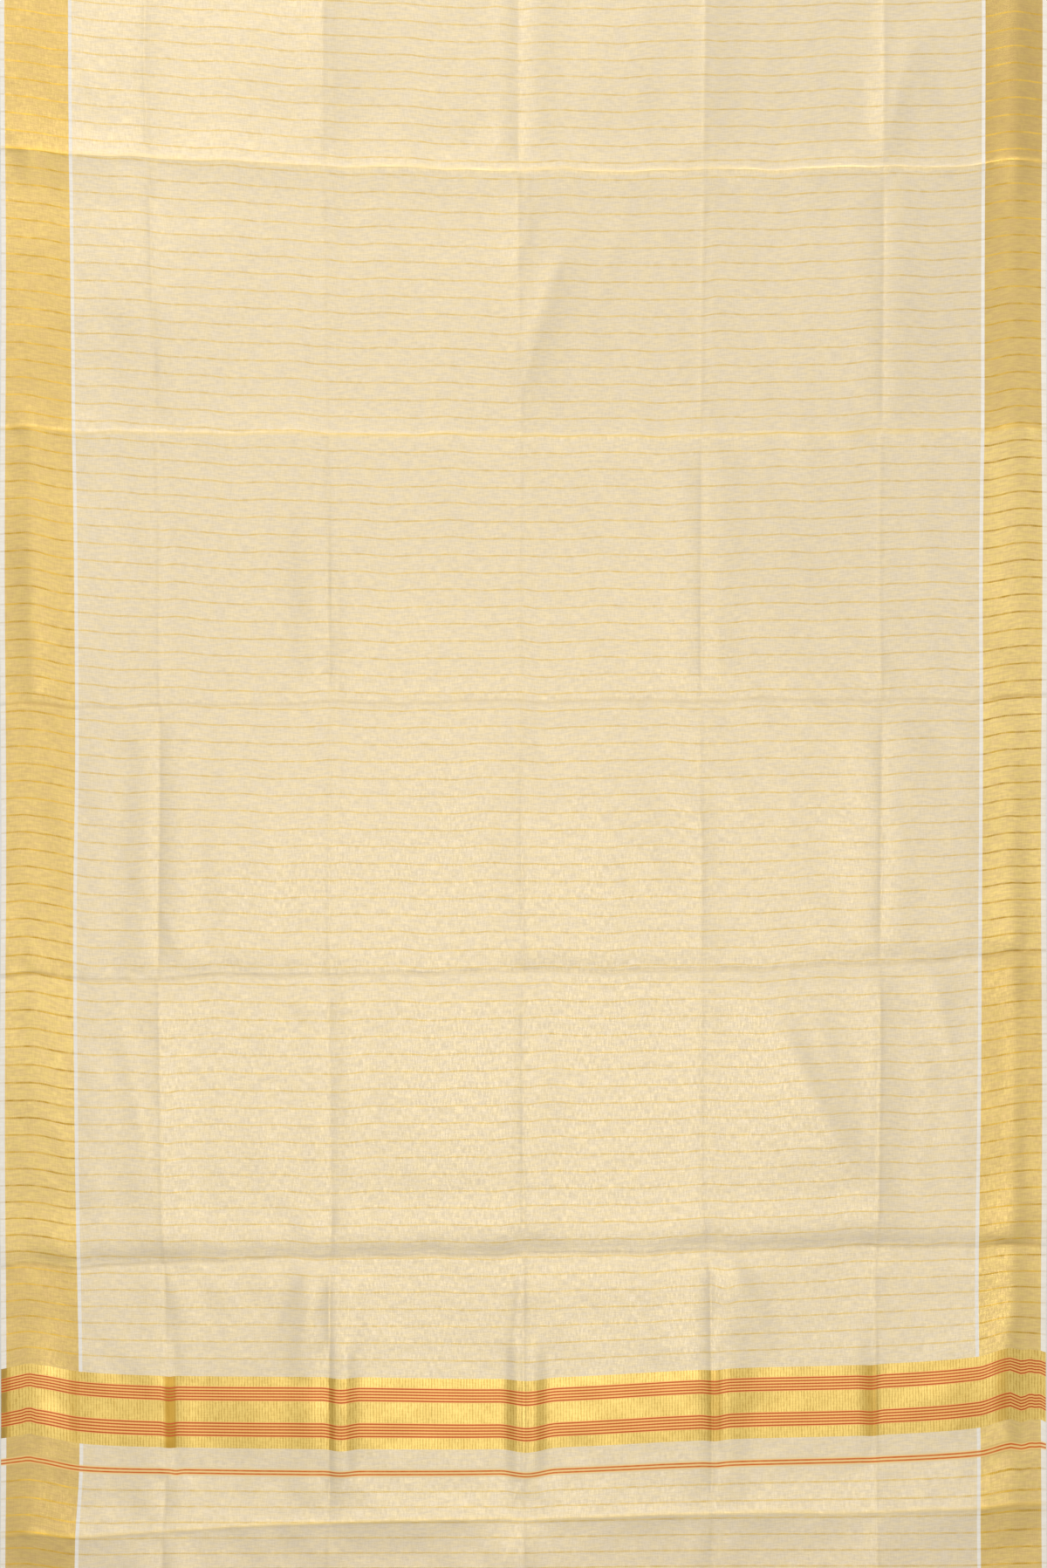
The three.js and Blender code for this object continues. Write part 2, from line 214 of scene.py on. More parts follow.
# The five folds' heights in each panel between cross folds, negative for the swells beside a trough
LONG_FOLD_HEIGHTS = (
    (-1.0, 1.4, 2, -1.4, 1.4),
    (-1.1, -1.3, 1.8, -1.3, 0.9),
    (1.0, -0.8, -0.7, 1.0, 0.9),
    (-0.8, 0.8, 0.9, 0.9, -0.8),
    (0.9, -0.8, 0.8, -0.8, 0.9),
    (-0.8, 0.8, 1.4, 1.1, -0.8),
    (2, 1.6, -1.4, 1.6, 1.8),
    (-1.3, 1.6, 1.8, -1.4, 1.4),
    (1.4, -1.3, -1.4, 1.6, -1.3),
)
# How far a long fold reaches to each side, and over what length it fades at a cross fold
LONG_FOLD_REACH = 52.0
LONG_FOLD_FADE = 46.0
# The height of a long fold's sharp crease, and how strong the painted shade along it is
LONG_CREASE = 0.22
LONG_PAINTED_SHADE = 0.3
# How far a second crease lies beyond each of the five folds, or 0 for none, and how strong it is
TWIN_CREASES = (0.0, 13.0, 14.0, 12.0, 0.0)
TWIN_SHARE = 0.6
# The height at which a fold's crease begins to sharpen, over how much height, and its least share
SHARP_FROM = 0.5
SHARP_OVER = 0.35
SHARP_LEAST = 0.3


@dataclass(frozen=True)
class CreaseForm:
    """The cross section of a sharp crease.

    Args:
        wander: How far its line strays to each side.
        reach: How far the crease reaches to each side.
        pucker: How high the puckers beside it are.
        pucker_reach: How far the puckers reach.
        shading_reach: How far its painted shade and highlight reach.
    """

    wander: float
    reach: float
    pucker: float
    pucker_reach: float
    shading_reach: float

    def ridge(self, off: np.ndarray) -> np.ndarray:
        """Returns the crease's share of its height, at distances from its line."""
        return np.clip(1 - off / self.reach, 0, 1) ** 2

    def puckers(self, off: np.ndarray) -> np.ndarray:
        """Returns how high the puckers may be, at distances from its line."""
        return self.pucker * np.clip(1 - off / self.pucker_reach, 0, 1) ** 2

    def painted_shading(self, off: np.ndarray) -> np.ndarray:
        """Returns the strength of the crease's painted shading, at distances from its line."""
        return np.clip(1 - off / self.shading_reach, 0, 1)


CROSS_FORM = CreaseForm(wander=1.4, reach=4.0, pucker=0.16, pucker_reach=26.0, shading_reach=3.0)
LONG_FORM = CreaseForm(wander=1.2, reach=3.6, pucker=0.08, pucker_reach=20.0, shading_reach=2.6)
# Over what length a long crease's puckers fade at a cross fold
PUCKER_FADE = 14.0


@dataclass(frozen=True)
class Drag:
    """A soft crease that runs from one place on the cloth to another.

    Args:
        start: Its first end, across and along.
        end: Its other end.
        height: Its height at its middle.
        reach: How far it reaches to each side.
    """

    start: tuple[float, float]
    end: tuple[float, float]
    height: float
    reach: float

    def lift(self, across: np.ndarray, along: np.ndarray) -> np.ndarray:
        """Works out the crease's height at places on the cloth.

        Args:
            across: The places across the cloth.
            along: The places along it.

        Returns:
            The height at each place.
        """
        run = np.subtract(self.end, self.start)
        size = float(np.hypot(*run))
        t = ((across - self.start[0]) * run[0] + (along - self.start[1]) * run[1]) / size**2
        off = ((across - self.start[0]) * run[1] - (along - self.start[1]) * run[0]) / size
        return fold_height(self.height, off, self.reach) * np.sin(np.pi * np.clip(t, 0, 1))


LARGE_DRAGS = (
    Drag((836, 782), (990, 490), 2.4, 62),
    Drag((1040, 790), (1072, 650), 1.8, 44),
    Drag((632, 1600), (572, 1400), 2.2, 46),
    Drag((363, 476), (322, 330), 2.4, 48),
    Drag((806, 476), (872, 350), 2.0, 48),
    Drag((676, 470), (744, 340), 1.8, 44),
    Drag((1024, 1850), (984, 1680), 2.4, 48),
    Drag((590, 180), (520, 60), 2.6, 46),
    Drag((300, 2590), (480, 2300), 3.6, 62),
    Drag((870, 3190), (690, 2900), 3.6, 62),
    Drag((420, 3790), (290, 3540), 3.2, 56),
    Drag((630, 4700), (830, 4420), 3.6, 62),
    Drag((220, 5010), (390, 4740), 3.2, 56),
)

FINE_DRAGS = (
    Drag((596, 1648), (574, 1560), 0.5, 16),
    Drag((640, 1620), (566, 1430), 0.7, 20),
    Drag((700, 1650), (664, 1520), 0.6, 16),
    Drag((96, 1780), (140, 1690), 0.9, 18),
    Drag((958, 1850), (986, 1700), 0.5, 18),
    Drag((1000, 1840), (1050, 1700), 0.5, 18),
    Drag((372, 1290), (366, 1130), 0.5, 12),
    Drag((150, 900), (210, 800), 0.7, 18),
    Drag((860, 770), (962, 500), 0.5, 24),
    Drag((905, 760), (935, 660), 0.4, 18),
    Drag((980, 784), (972, 520), 0.25, 14),
    Drag((1046, 770), (1030, 500), 0.3, 18),
    Drag((128, 770), (166, 560), 0.6, 20),
    Drag((352, 470), (304, 350), 0.7, 18),
    Drag((392, 468), (404, 350), 0.5, 14),
    Drag((584, 474), (572, 344), 0.7, 13),
    Drag((600, 474), (640, 350), 0.6, 15),
    Drag((650, 470), (700, 360), 0.6, 18),
    Drag((812, 472), (858, 362), 0.25, 20),
    Drag((842, 470), (900, 380), 0.5, 16),
    Drag((584, 226), (566, 186), 1.0, 13),
    Drag((596, 226), (622, 186), 1.0, 13),
    Drag((384, 226), (372, 190), 0.8, 12),
    Drag((394, 226), (414, 192), 0.7, 12),
)

# Facets pressed into the gold band at the long folds: from, to, and the height gained over them
BAND_FACETS = (
    (48, 54, -0.5),
    (178, 191, -1.1),
    (360, 370, 1.2),
    (385, 396, -1.4),
    (564, 576, 1.5),
    (600, 612, -1.5),
    (796, 810, -0.9),
    (962, 984, -0.9),
    (1126, 1140, -1.2),
)
# Where the facets begin, are whole, begin to fade and end along the cloth
FACET_SPAN = (216, 232, 356, 380)
# How far beside a facet the height gained over it returns to nothing
FACET_RETURN = 58.0

# Bars of painted shade on the gold band, where its metal thread is turned from the light:
# from, to, how soft each side is, how much
PAINTED_BAND_SHADE = (
    (-4, 6, 1, 6, 0.56),
    (74, 78, 5, 7, 0.36),
    (181, 190, 5, 2, 1.0),
    (366, 370, 5, 4, 0.32),
    (384, 388, 3, 5, 0.15),
    (568, 574, 6, 3, 0.15),
    (600, 604, 3, 8, 0.2),
    (796, 805, 6, 4, 0.45),
    (977, 981, 18, 3, 0.6),
    (1056, 1080, 16, 24, 0.1),
    (1119, 1125, 8, 5, 0.52),
)

# Rolls along the gold borders: where, height, reach, crest and length along the cloth
BORDER_ROLLS = ((36, 1.2, 34, 1230, 1560), (1134, 1.5, 34, 1800, 1240))

# Painted shade of the left and right borders, for how far their metal thread is turned from the light,
# 0 to 1, by panel: where the panel starts and where it ends
BORDER_PAINTED_SHADE = (
    ((0.68, 0.68), (0.50, 0.50)),
    ((0.84, 0.68), (0.36, 0.36)),
    ((0.23, 0.20), (0.45, 0.50)),
    ((0.35, 0.58), (0.15, 0.00)),
    ((0.45, 0.55), (0.13, 0.00)),
    ((0.74, 0.60), (0.50, 0.80)),
    ((0.80, 1.00), (1.00, 0.90)),
    ((0.50, 0.30), (0.20, 0.60)),
    ((0.70, 0.50), (0.55, 0.30)),
)

# The slow swells of each panel between cross folds: their height, their waves across the cloth, and
# how far the waves shift from one panel to the next
SWELL_HEIGHT = 3.2
SWELL_WAVES = 3
SWELL_SHIFT = 1.9
# How low a fold has to be to rest on the surface, and how softly it meets it
REST_HEIGHT = 1.0
REST_ROUNDING = 0.3
# How much of its height the cloth has at its sides, and how far inwards it has all of it
EDGE_SHARE = 0.5
EDGE_REACH = 40.0
# How far from a hem the folds, and the fine relief, have all their height
HEM_REACH = 60.0
RELIEF_REACH = 20.0

# How far the weft bows from a straight line, at places across the cloth and along it
BOW_ACROSS = (0, 32, 84, 181, 366, 585, 796, 982, 1096, 1131, CLOTH_WIDTH)
BOW_ROWS = (
    (0, (0, 0, 0), (0, 0, 0, 0, 0), (0, 0, 0), (0, 0)),
    (156, (5, 6, -2), (-1, -1, 0, 3, 4), (5, 8, 9), (2, -2)),
    (228, (11, 14, 4), (1, -1, 0, 9, 14), (21, 30, 31), (6, -1.5)),
    (312, (11, 17, 8), (3, 2, 0, 11, 16), (25, 36, 32), (5.5, -3)),
    (439, (7, 9, 2), (2, 0, 0, 7, 15), (19, 22, 23), (4, -4)),
    (634, (3, 4, -4), (-4, -5, 0, 3, 9), (11, 19, 22), (1.5, -2)),
    (839, (14, 16, 5), (3, 1, 0, 2, 8), (12, 18, 18), (-1, 0)),
    (1034, (16, 17, 8), (4, 0, 0, 2, 5), (8, 14, 15), (1.5, 1)),
    (1229, (24, 24, 16), (9, 2, 0, 2, 7), (9, 14, 14), (1, 0)),
    (1433, (28, 27, 20), (13, 4, 0, 1, 6), (9, 14, 13), (-3, 3)),
    (1820, (38, 36, 27), (21, 8, 0, 1, 5), (8, 14, 11), (-6, 3)),
    (2600, (14, 13, 10), (7, 3, 0, 1, 2), (3, 5, 4), (-2, 1)),
    (3500, (0, 0, 0), (0, 0, 0, 0, 0), (0, 0, 0), (0, 0)),
    (CLOTH_LENGTH, (0, 0, 0), (0, 0, 0, 0, 0), (0, 0, 0), (0, 0)),
)
# Small kinks where the weft crosses a fold: across, along, depth, and half its width and length
KINKS = (
    (184, 292, -1.6, 12, 90),
    (192, 226, -1.2, 9, 30),
    (378, 285, -3.0, 22, 110),
    (590, 270, -4.4, 34, 150),
    (800, 285, -2.2, 18, 110),
    (976, 292, -1.6, 16, 90),
    (1143, 276, -5.6, 13, 100),
    (1158, 276, -1.6, 8, 100),
    (1174, 276, -5.0, 13, 100),
    (29, 276, 1.8, 9, 90),
    (188, 420, -1.5, 12, 50),
    (812, 425, -4.0, 16, 50),
    (590, 620, -1.6, 20, 120),
    (186, 640, -1.5, 14, 130),
    (372, 900, -1.2, 12, 130),
    (796, 905, 1.4, 14, 130),
    (182, 1240, -1.2, 12, 140),
    (585, 1190, 1.4, 16, 140),
    (984, 1220, -1.4, 14, 150),
    (368, 1530, 1.2, 14, 140),
    (786, 1560, -1.5, 14, 150),
    (578, 1840, -2.4, 26, 160),
    (790, 1850, 1.4, 16, 120),
    (300, 2350, -1.6, 20, 160),
    (780, 2700, 1.8, 22, 160),
    (480, 3300, -2.0, 24, 160),
    (860, 3900, 1.8, 22, 160),
    (420, 4500, -1.8, 22, 160),
    (640, 5100, -2.0, 24, 160),
)

# Slow waves of the weft: depth, length across the cloth, drift along it, and where they start
WEFT_WAVES = ((0.9, 168.0, 1150.0, 0.1), (0.6, 94.0, -830.0, 0.55), (0.4, 53.0, 540.0, 0.3))
# Over what length they begin beyond the gold band
WEFT_WAVE_FADE = 150.0

# The slow wave of both outer edges: its depth, its length, and where it fades at the hems
EDGE_WAVE_DEPTH = 1.6
EDGE_WAVE_LENGTH = 610.0
EDGE_WAVE_ENDS = 100.0


def smooth_curve(places: Sequence[float], values: np.ndarray, at: np.ndarray) -> np.ndarray:
    """Follows a smooth curve through knots, with slopes from the neighbouring knots.

    Args:
        places: Where the knots are.
        values: A value for each knot, or a row of values with one for each point.
        at: The points' places.

    Returns:
        The curve's value at each point.
    """
    knots = np.asarray(places, float)
    last = len(knots) - 1
    i = np.clip(np.searchsorted(knots, at, side="right") - 1, 0, last - 1)
    columns = np.arange(at.size).reshape(at.shape)

    def value(k: np.ndarray) -> np.ndarray:
        """Returns the values at numbered knots."""
        return values[k] if values.ndim == 1 else values[k, columns]

    def slope(k: np.ndarray) -> np.ndarray:
        """Returns the slopes at numbered knots."""
        low, high = np.maximum(0, k - 1), np.minimum(last, k + 1)
        return (value(high) - value(low)) / (knots[high] - knots[low])

    span = knots[i + 1] - knots[i]
    t = np.clip((at - knots[i]) / span, 0, 1)
    rest = 1 - t
    return (
        value(i) * (1 + 2 * t) * rest**2
        + slope(i) * span * t * rest**2
        + value(i + 1) * t**2 * (3 - 2 * t)
        - slope(i + 1) * span * t**2 * rest
    )


def fade(distance: np.ndarray, reach: float) -> np.ndarray:
    """Returns a smooth step from 0 at no distance to 1 at the reach."""
    t = np.clip(distance / reach, 0, 1)
    return t * t * (3 - 2 * t)


def fold_height(height: float | np.ndarray, off: np.ndarray, reach: float) -> np.ndarray:
    """Works out a ridge, or the swells beside a trough where the height is negative.

    Args:
        height: The height of the ridge, or of the swells below 0.
        off: The places' distances from its line.
        reach: How far it reaches to each side.

    Returns:
        The height at each place.
    """
    t = np.clip(np.abs(off) / reach, 0, 1)
    rest = (1 - t) ** 2
    swell_top = (1 / 3) * (1 - 1 / 3) ** 2
    return np.where(np.asarray(height) > 0, height * rest, -height * t * rest / swell_top)


@dataclass(frozen=True)
class Waves:
    """A smooth uneven field: plane waves in directions and phases drawn from a seed.

    Args:
        seed: The seed of the draw.
        count: How many waves there are.
        shortest: The shortest wave's length.
        longest: The longest wave's length.
    """

    seed: int
    count: int
    shortest: float
    longest: float

    def at(self, across: np.ndarray, along: np.ndarray) -> np.ndarray:
        """Works out the field at places on the cloth.

        Args:
            across: The places across the cloth.
            along: The places along it.

        Returns:
            The field, mostly between -1 and 1.
        """
        draw = np.random.default_rng(self.seed)
        total = np.zeros(across.shape)
        for _ in range(self.count):
            length = math.exp(draw.uniform(math.log(self.shortest), math.log(self.longest)))
            turn, phase = draw.uniform(0, 2 * math.pi, 2)
            reach = 2 * math.pi / length
            total += np.sin((across * math.cos(turn) + along * math.sin(turn)) * reach + phase)
        return total / math.sqrt(self.count / 2) / 2


@dataclass
class LaidCloth:
    """The cloth as it lies: where each place on it is, and how high it stands.

    Args:
        rumple: The uneven field of its shallow rumples.
        rumple_height: How high the rumples are.
        wander: The uneven field that bends the crease lines.
        pucker: The uneven field of the puckers beside the creases.
    """

    rumple: Waves = Waves(seed=11, count=26, shortest=38, longest=170)
    rumple_height: float = 0.22
    wander: Waves = Waves(seed=5, count=12, shortest=90, longest=400)
    pucker: Waves = Waves(seed=23, count=24, shortest=13, longest=42)

    def long_fold(self, number: int, along: np.ndarray) -> np.ndarray:
        """Returns where a fold along the cloth lies across it, at places along it."""
        places = [row[0] for row in LONG_FOLD_PLACES]
        return np.interp(along, places, [row[1][number] for row in LONG_FOLD_PLACES])

    def column(self, column: np.ndarray, along: np.ndarray) -> np.ndarray:
        """Works out where columns of a grid lie across the cloth, as they follow the long folds.

        Args:
            column: The columns' places at the pallu end.
            along: The rows' places along the cloth, as a column of numbers.

        Returns:
            The grid's places across the cloth.
        """
        start = LONG_FOLD_PLACES[0][1]
        leans = np.stack([self.long_fold(i, along) - across for i, across in enumerate(start)])
        knots = [GROUND.start, *start, GROUND.end]
        result = np.broadcast_to(column, np.broadcast_shapes(column.shape, along.shape)).astype(float)
        for i in range(len(knots) - 1):
            low, high = knots[i], knots[i + 1]
            inside = (column >= low) & (column < high)
            t = (column - low) / (high - low)
            lean_low = leans[i - 1] if i > 0 else 0.0
            lean_high = leans[i] if i < len(start) else 0.0
            result = result + np.where(inside, lean_low * (1 - t) + lean_high * t, 0.0)
        return result

    def panel(self, across: np.ndarray, along: np.ndarray) -> tuple[np.ndarray, np.ndarray, np.ndarray]:
        """Finds the panels, between cross folds, that places lie in.

        Args:
            across: The places across the cloth.
            along: The places along it.

        Returns:
            Each place's panel number, and where that panel starts and ends along the cloth.
        """
        lines = np.stack(
            [np.zeros(across.shape)]
            + [fold.line.at(across) for fold in CROSS_FOLDS]
            + [np.full(across.shape, CLOTH_LENGTH)]
        )
        number = np.clip((lines[1:-1] <= along).sum(0), 0, len(CROSS_FOLDS))
        start = np.take_along_axis(lines, number[None], 0)[0]
        end = np.take_along_axis(lines, number[None] + 1, 0)[0]
        return number, start, end

    def panel_heights(self, number: np.ndarray) -> np.ndarray:
        """Looks up the five long folds' heights.

        Args:
            number: The panels' numbers.

        Returns:
            The heights, with the five folds on the last axis.
        """
        rows = len(LONG_FOLD_HEIGHTS)
        row = np.where(number < rows, number, rows - 2 + (number - rows) % 2)
        return np.array(LONG_FOLD_HEIGHTS, float)[row]

    def lift(self, across: np.ndarray, along: np.ndarray) -> np.ndarray:
        """Works out the height of the underside over the surface, as the solids have it.

        Args:
            across: The places across the cloth.
            along: The places along it.

        Returns:
            The height at each place.
        """
        number, start, end = self.panel(across, along)
        inside = fade(along - start, LONG_FOLD_FADE) * fade(end - along, LONG_FOLD_FADE)
        lift = np.full(across.shape, -REST_HEIGHT)
        for fold in CROSS_FOLDS:
            lift += fold.lift(across, along)
        heights = self.panel_heights(number)
        for i in range(heights.shape[-1]):
            off = across - self.long_fold(i, along)
            lift += fold_height(heights[..., i], off, LONG_FOLD_REACH) * inside
        for drag in LARGE_DRAGS:
            lift += drag.lift(across, along)
        for where, height, reach, crest, length in BORDER_ROLLS:
            rise = np.cos(np.pi * (along - crest) / length) ** 2
            lift += fold_height(1.0, across - where, reach) * height * rise
        crown = np.sin(np.pi * (along - start) / (end - start))
        wave = np.sin(np.pi * SWELL_WAVES * across / CLOTH_WIDTH + number * SWELL_SHIFT)
        lift += SWELL_HEIGHT * crown * wave**2
        rounded = (lift + np.sqrt(lift**2 + REST_ROUNDING**2)) / 2
        return rounded * self.freedom(across, along)

    def freedom(self, across: np.ndarray, along: np.ndarray) -> np.ndarray:
        """Returns how free the cloth is to stand up: less at its sides and not at all at its hems."""
        inwards = fade(np.minimum(across, CLOTH_WIDTH - across), EDGE_REACH)
        return self.off_hems(along, HEM_REACH) * (EDGE_SHARE + (1 - EDGE_SHARE) * inwards)

    def off_hems(self, along: np.ndarray, reach: float) -> np.ndarray:
        """Returns a share that is 0 at both hems and 1 from a reach inwards of them."""
        return fade(along - HEM_WIDTH, reach) * fade(CLOTH_LENGTH - HEM_WIDTH - along, reach)

    def creases(self, across: np.ndarray, along: np.ndarray) -> tuple[np.ndarray, np.ndarray]:
        """Works out the sharp creases pressed into the tops of the folds.

        Args:
            across: The places across the cloth.
            along: The places along it.

        Returns:
            The creases' height, and the mask of their painted shading: 1 for a painted highlight on a
            ridge's crease, -1 for painted shade on any other and 0 away from them.
        """
        number, start, end = self.panel(across, along)
        wander = self.wander.at(across, along)
        pucker = self.pucker.at(across, along)
        height, mask = np.zeros(across.shape), np.zeros(across.shape)
        for fold in CROSS_FOLDS:
            off = np.abs(along - fold.line.at(across) + CROSS_FORM.wander * wander)
            height += fold.crease * CROSS_FORM.ridge(off) + pucker * CROSS_FORM.puckers(off)
            # Painted highlight on a ridge's crease, painted shade on any other
            mask += math.copysign(1, fold.crease) * CROSS_FORM.painted_shading(off)
        heights = self.panel_heights(number)
        inside = fade(along - start, PUCKER_FADE) * fade(end - along, PUCKER_FADE)
        for i, twin in enumerate(TWIN_CREASES):
            side = np.where(heights[..., i] > 0, 1.0, -1.0)
            sharp = np.clip((np.abs(heights[..., i]) - SHARP_FROM) / SHARP_OVER, SHARP_LEAST, 1)
            for shift, share in ((0.0, 1.0), (twin, TWIN_SHARE)) if twin else ((0.0, 1.0),):
                off = np.abs(across - self.long_fold(i, along) - shift + LONG_FORM.wander * wander)
                height += side * sharp * share * LONG_CREASE * LONG_FORM.ridge(off)
                height += share * pucker * LONG_FORM.puckers(off) * inside
                # Painted shade along a long fold's crease
                mask -= sharp * share * LONG_PAINTED_SHADE * LONG_FORM.painted_shading(off)
        return height, np.clip(mask, -1, 1)

    def turn(self, across: np.ndarray, along: np.ndarray) -> np.ndarray:
        """Works out the borders' painted shade, for how far their metal thread is turned from the light.

        Args:
            across: The places across the cloth.
            along: The places along it.

        Returns:
            The painted shade's share at each place, 0 to 1.
        """
        number, start, end = self.panel(across, along)
        rows = len(BORDER_PAINTED_SHADE)
        row = np.where(number < rows, number, rows - 4 + (number - rows) % 4)
        near, far = np.moveaxis(np.array(BORDER_PAINTED_SHADE)[row, (across > CLOTH_WIDTH / 2).astype(int)], -1, 0)
        return near + (far - near) * (along - start) / (end - start)

    def band_shade(self, across: np.ndarray) -> np.ndarray:
        """Works out the gold band's painted shade, for how far its metal thread is turned from the light.

        Args:
            across: The places across the cloth.

        Returns:
            The painted shade's share at each place, 0 to 1.
        """
        turn = np.zeros(across.shape)
        for low, high, before, beyond, share in PAINTED_BAND_SHADE:
            turn += share * fade(across - low + before, before) * fade(high + beyond - across, beyond)
        return np.clip(turn, 0, 1)

    def facets(self, across: np.ndarray, along: np.ndarray) -> np.ndarray:
        """Works out the flat facets pressed into the gold band at its folds.

        Args:
            across: The places across the cloth.
            along: The places along it.

        Returns:
            The height at each place.
        """
        start, full, fading, end = FACET_SPAN
        span = fade(along - start, full - start) * fade(end - along, end - fading)
        height = np.zeros(across.shape)
        for low, high, gain in BAND_FACETS:
            before = np.clip(1 - (low - across) / FACET_RETURN, 0, 1) * (across < low)
            after = np.clip(1 - (across - high) / FACET_RETURN, 0, 1) * (across > high)
            step = np.clip((across - low) / (high - low), 0, 1) - 0.5
            rise = np.where(before > 0, -0.5 * before**2, np.where(after > 0, 0.5 * after**2, step))
            near = (across > low - FACET_RETURN) & (across < high + FACET_RETURN)
            height += gain * rise * near
        return height * span

    def relief(self, across: np.ndarray, along: np.ndarray) -> tuple[np.ndarray, np.ndarray]:
        """Works out the fine relief on the form of the solids.

        Args:
            across: The places across the cloth.
            along: The places along it.

        Returns:
            The relief's height, and the mask of the sharp creases' painted highlight and shade.
        """
        creases, mask = self.creases(across, along)
        rumples = self.rumple.at(across, along) * self.rumple_height + self.facets(across, along)
        for drag in FINE_DRAGS:
            rumples += drag.lift(across, along)
        return (creases + rumples) * self.off_hems(along, RELIEF_REACH), mask

    def place(self, across: np.ndarray, along: np.ndarray) -> tuple[np.ndarray, np.ndarray]:
        """Turns places on the cloth into places of the scene.

        Args:
            across: The places across the cloth.
            along: The places along it.

        Returns:
            Their x and y, in metres.
        """
        places = [row[0] for row in BOW_ROWS]
        bows = np.array([[*row[1], *row[2], *row[3]] for row in BOW_ROWS], float)
        shifts = np.array([row[4] for row in BOW_ROWS], float)
        shape = np.broadcast_shapes(across.shape, along.shape)
        across, along = (np.broadcast_to(a, shape).ravel() for a in (across, along))
        rows = np.stack([smooth_curve(places, column, along) for column in bows.T])
        bow = smooth_curve(BOW_ACROSS, rows, across)
        left, right = (smooth_curve(places, column, along) for column in shifts.T)
        middle = CLOTH_WIDTH / 2
        first, last = BOW_ACROSS[2], BOW_ACROSS[8]
        share_left = np.interp(across, [0, first, middle], [0, 1, 0])
        share_right = np.interp(across, [middle, last, CLOTH_WIDTH], [0, 1, 0])
        side = across / middle - 1
        wave = np.sin(np.pi * along / EDGE_WAVE_LENGTH) ** 2 * side**3
        ends = fade(along, EDGE_WAVE_ENDS) * fade(CLOTH_LENGTH - along, EDGE_WAVE_ENDS)
        x = across - middle + left * share_left + right * share_right - EDGE_WAVE_DEPTH * wave * ends
        inwards = fade(np.minimum(across, CLOTH_WIDTH - across), EDGE_REACH)
        inwards *= fade(along - GOLD_BAND[1], WEFT_WAVE_FADE)
        for depth, length, drift, start in WEFT_WAVES:
            bow += depth * np.sin(2 * np.pi * (across / length + along / drift + start)) * inwards
        for kink_across, kink_along, depth, half_width, half_length in KINKS:
            near = fade(half_width - np.abs(across - kink_across), half_width)
            bow += depth * near * fade(half_length - np.abs(along - kink_along), half_length)
        y = along - CLOTH_LENGTH / 2 + bow
        return (x * MM).reshape(shape), (y * MM).reshape(shape)


CLOTH = LaidCloth()


def graded(start: float, end: float, fine: float, coarse: float, reach: float) -> list[float]:
    """Divides a length in steps that are fine near both its ends and coarse between them.

    Args:
        start: The first place.
        end: The last place.
        fine: The step at both ends.
        coarse: The largest step.
        reach: How far from an end the steps take to grow.

    Returns:
        The places, from the first to the last.
    """
    half = (end - start) / 2
    offsets = [0.0]
    while offsets[-1] < half:
        share = min(1.0, offsets[-1] / reach)
        offsets.append(offsets[-1] + fine + (coarse - fine) * share)
    scale = half / offsets[-1]
    steps = [offset * scale for offset in offsets]
    return [start + s for s in steps] + [end - s for s in reversed(steps[:-1])]


@dataclass(frozen=True)
class Grid:
    """How finely the shells are divided.

    Args:
        fine: The step at a crease.
        coarse: The step between creases.
        reach: How far from a crease the steps take to grow.
    """

    fine: float
    coarse: float
    reach: float

    def rows(self, first: Line, last: Line) -> list[Line]:
        """Divides a stretch in rows, with a row on each fold in it.

        Args:
            first: The line where the stretch starts.
            last: The line where it ends.

        Returns:
            The rows' lines.
        """
        folds = [f.line for f in CROSS_FOLDS if first.along + 1 < f.line.along < last.along - 1]
        stops = [first, *folds, last]
        rows: list[Line] = [first]
        for near, far in zip(stops, stops[1:]):
            steps = graded(0.0, far.along - near.along, self.fine, self.coarse, self.reach)
            rows += [near.towards(far, step / steps[-1]) for step in steps[1:]]
        return rows

    def columns(self) -> list[float]:
        """Divides the whole width in columns, with one on each long fold and strip's side.

        Returns:
            The columns' places across the cloth.
        """
        stops = sorted({*(s.start for s in STRIPS), *LONG_FOLD_PLACES[0][1], CLOTH_WIDTH})
        columns = [stops[0]]
        for low, high in zip(stops, stops[1:]):
            columns += graded(low, high, self.fine, self.coarse, self.reach)[1:]
        return columns


GRIDS = {
    "seen": Grid(fine=2.0, coarse=7.2, reach=34.0),
    "far": Grid(fine=2.4, coarse=9.5, reach=34.0),
}


def quads_of(wide: int, tall: int) -> tuple[np.ndarray, np.ndarray, np.ndarray]:
    """Numbers the corners of a shell's faces.

    Args:
        wide: How many columns the shell has.
        tall: How many rows it has.

    Returns:
        The corners of the faces of its top, its underside and its walls.
    """
    number = np.arange(wide * tall).reshape(tall, wide)
    a, b, c, d = number[:-1, :-1], number[:-1, 1:], number[1:, 1:], number[1:, :-1]
    top = np.stack([a, b, c, d], -1).reshape(-1, 4)
    layer = wide * tall
    under = top[:, ::-1] + layer
    around = np.concatenate([number[0], number[1:, -1], number[-1, -2::-1], number[-2::-1, 0]])
    ring, after = around[:-1], around[1:]
    walls = np.stack([ring, ring + layer, after + layer, after], -1)
    return top, under, walls


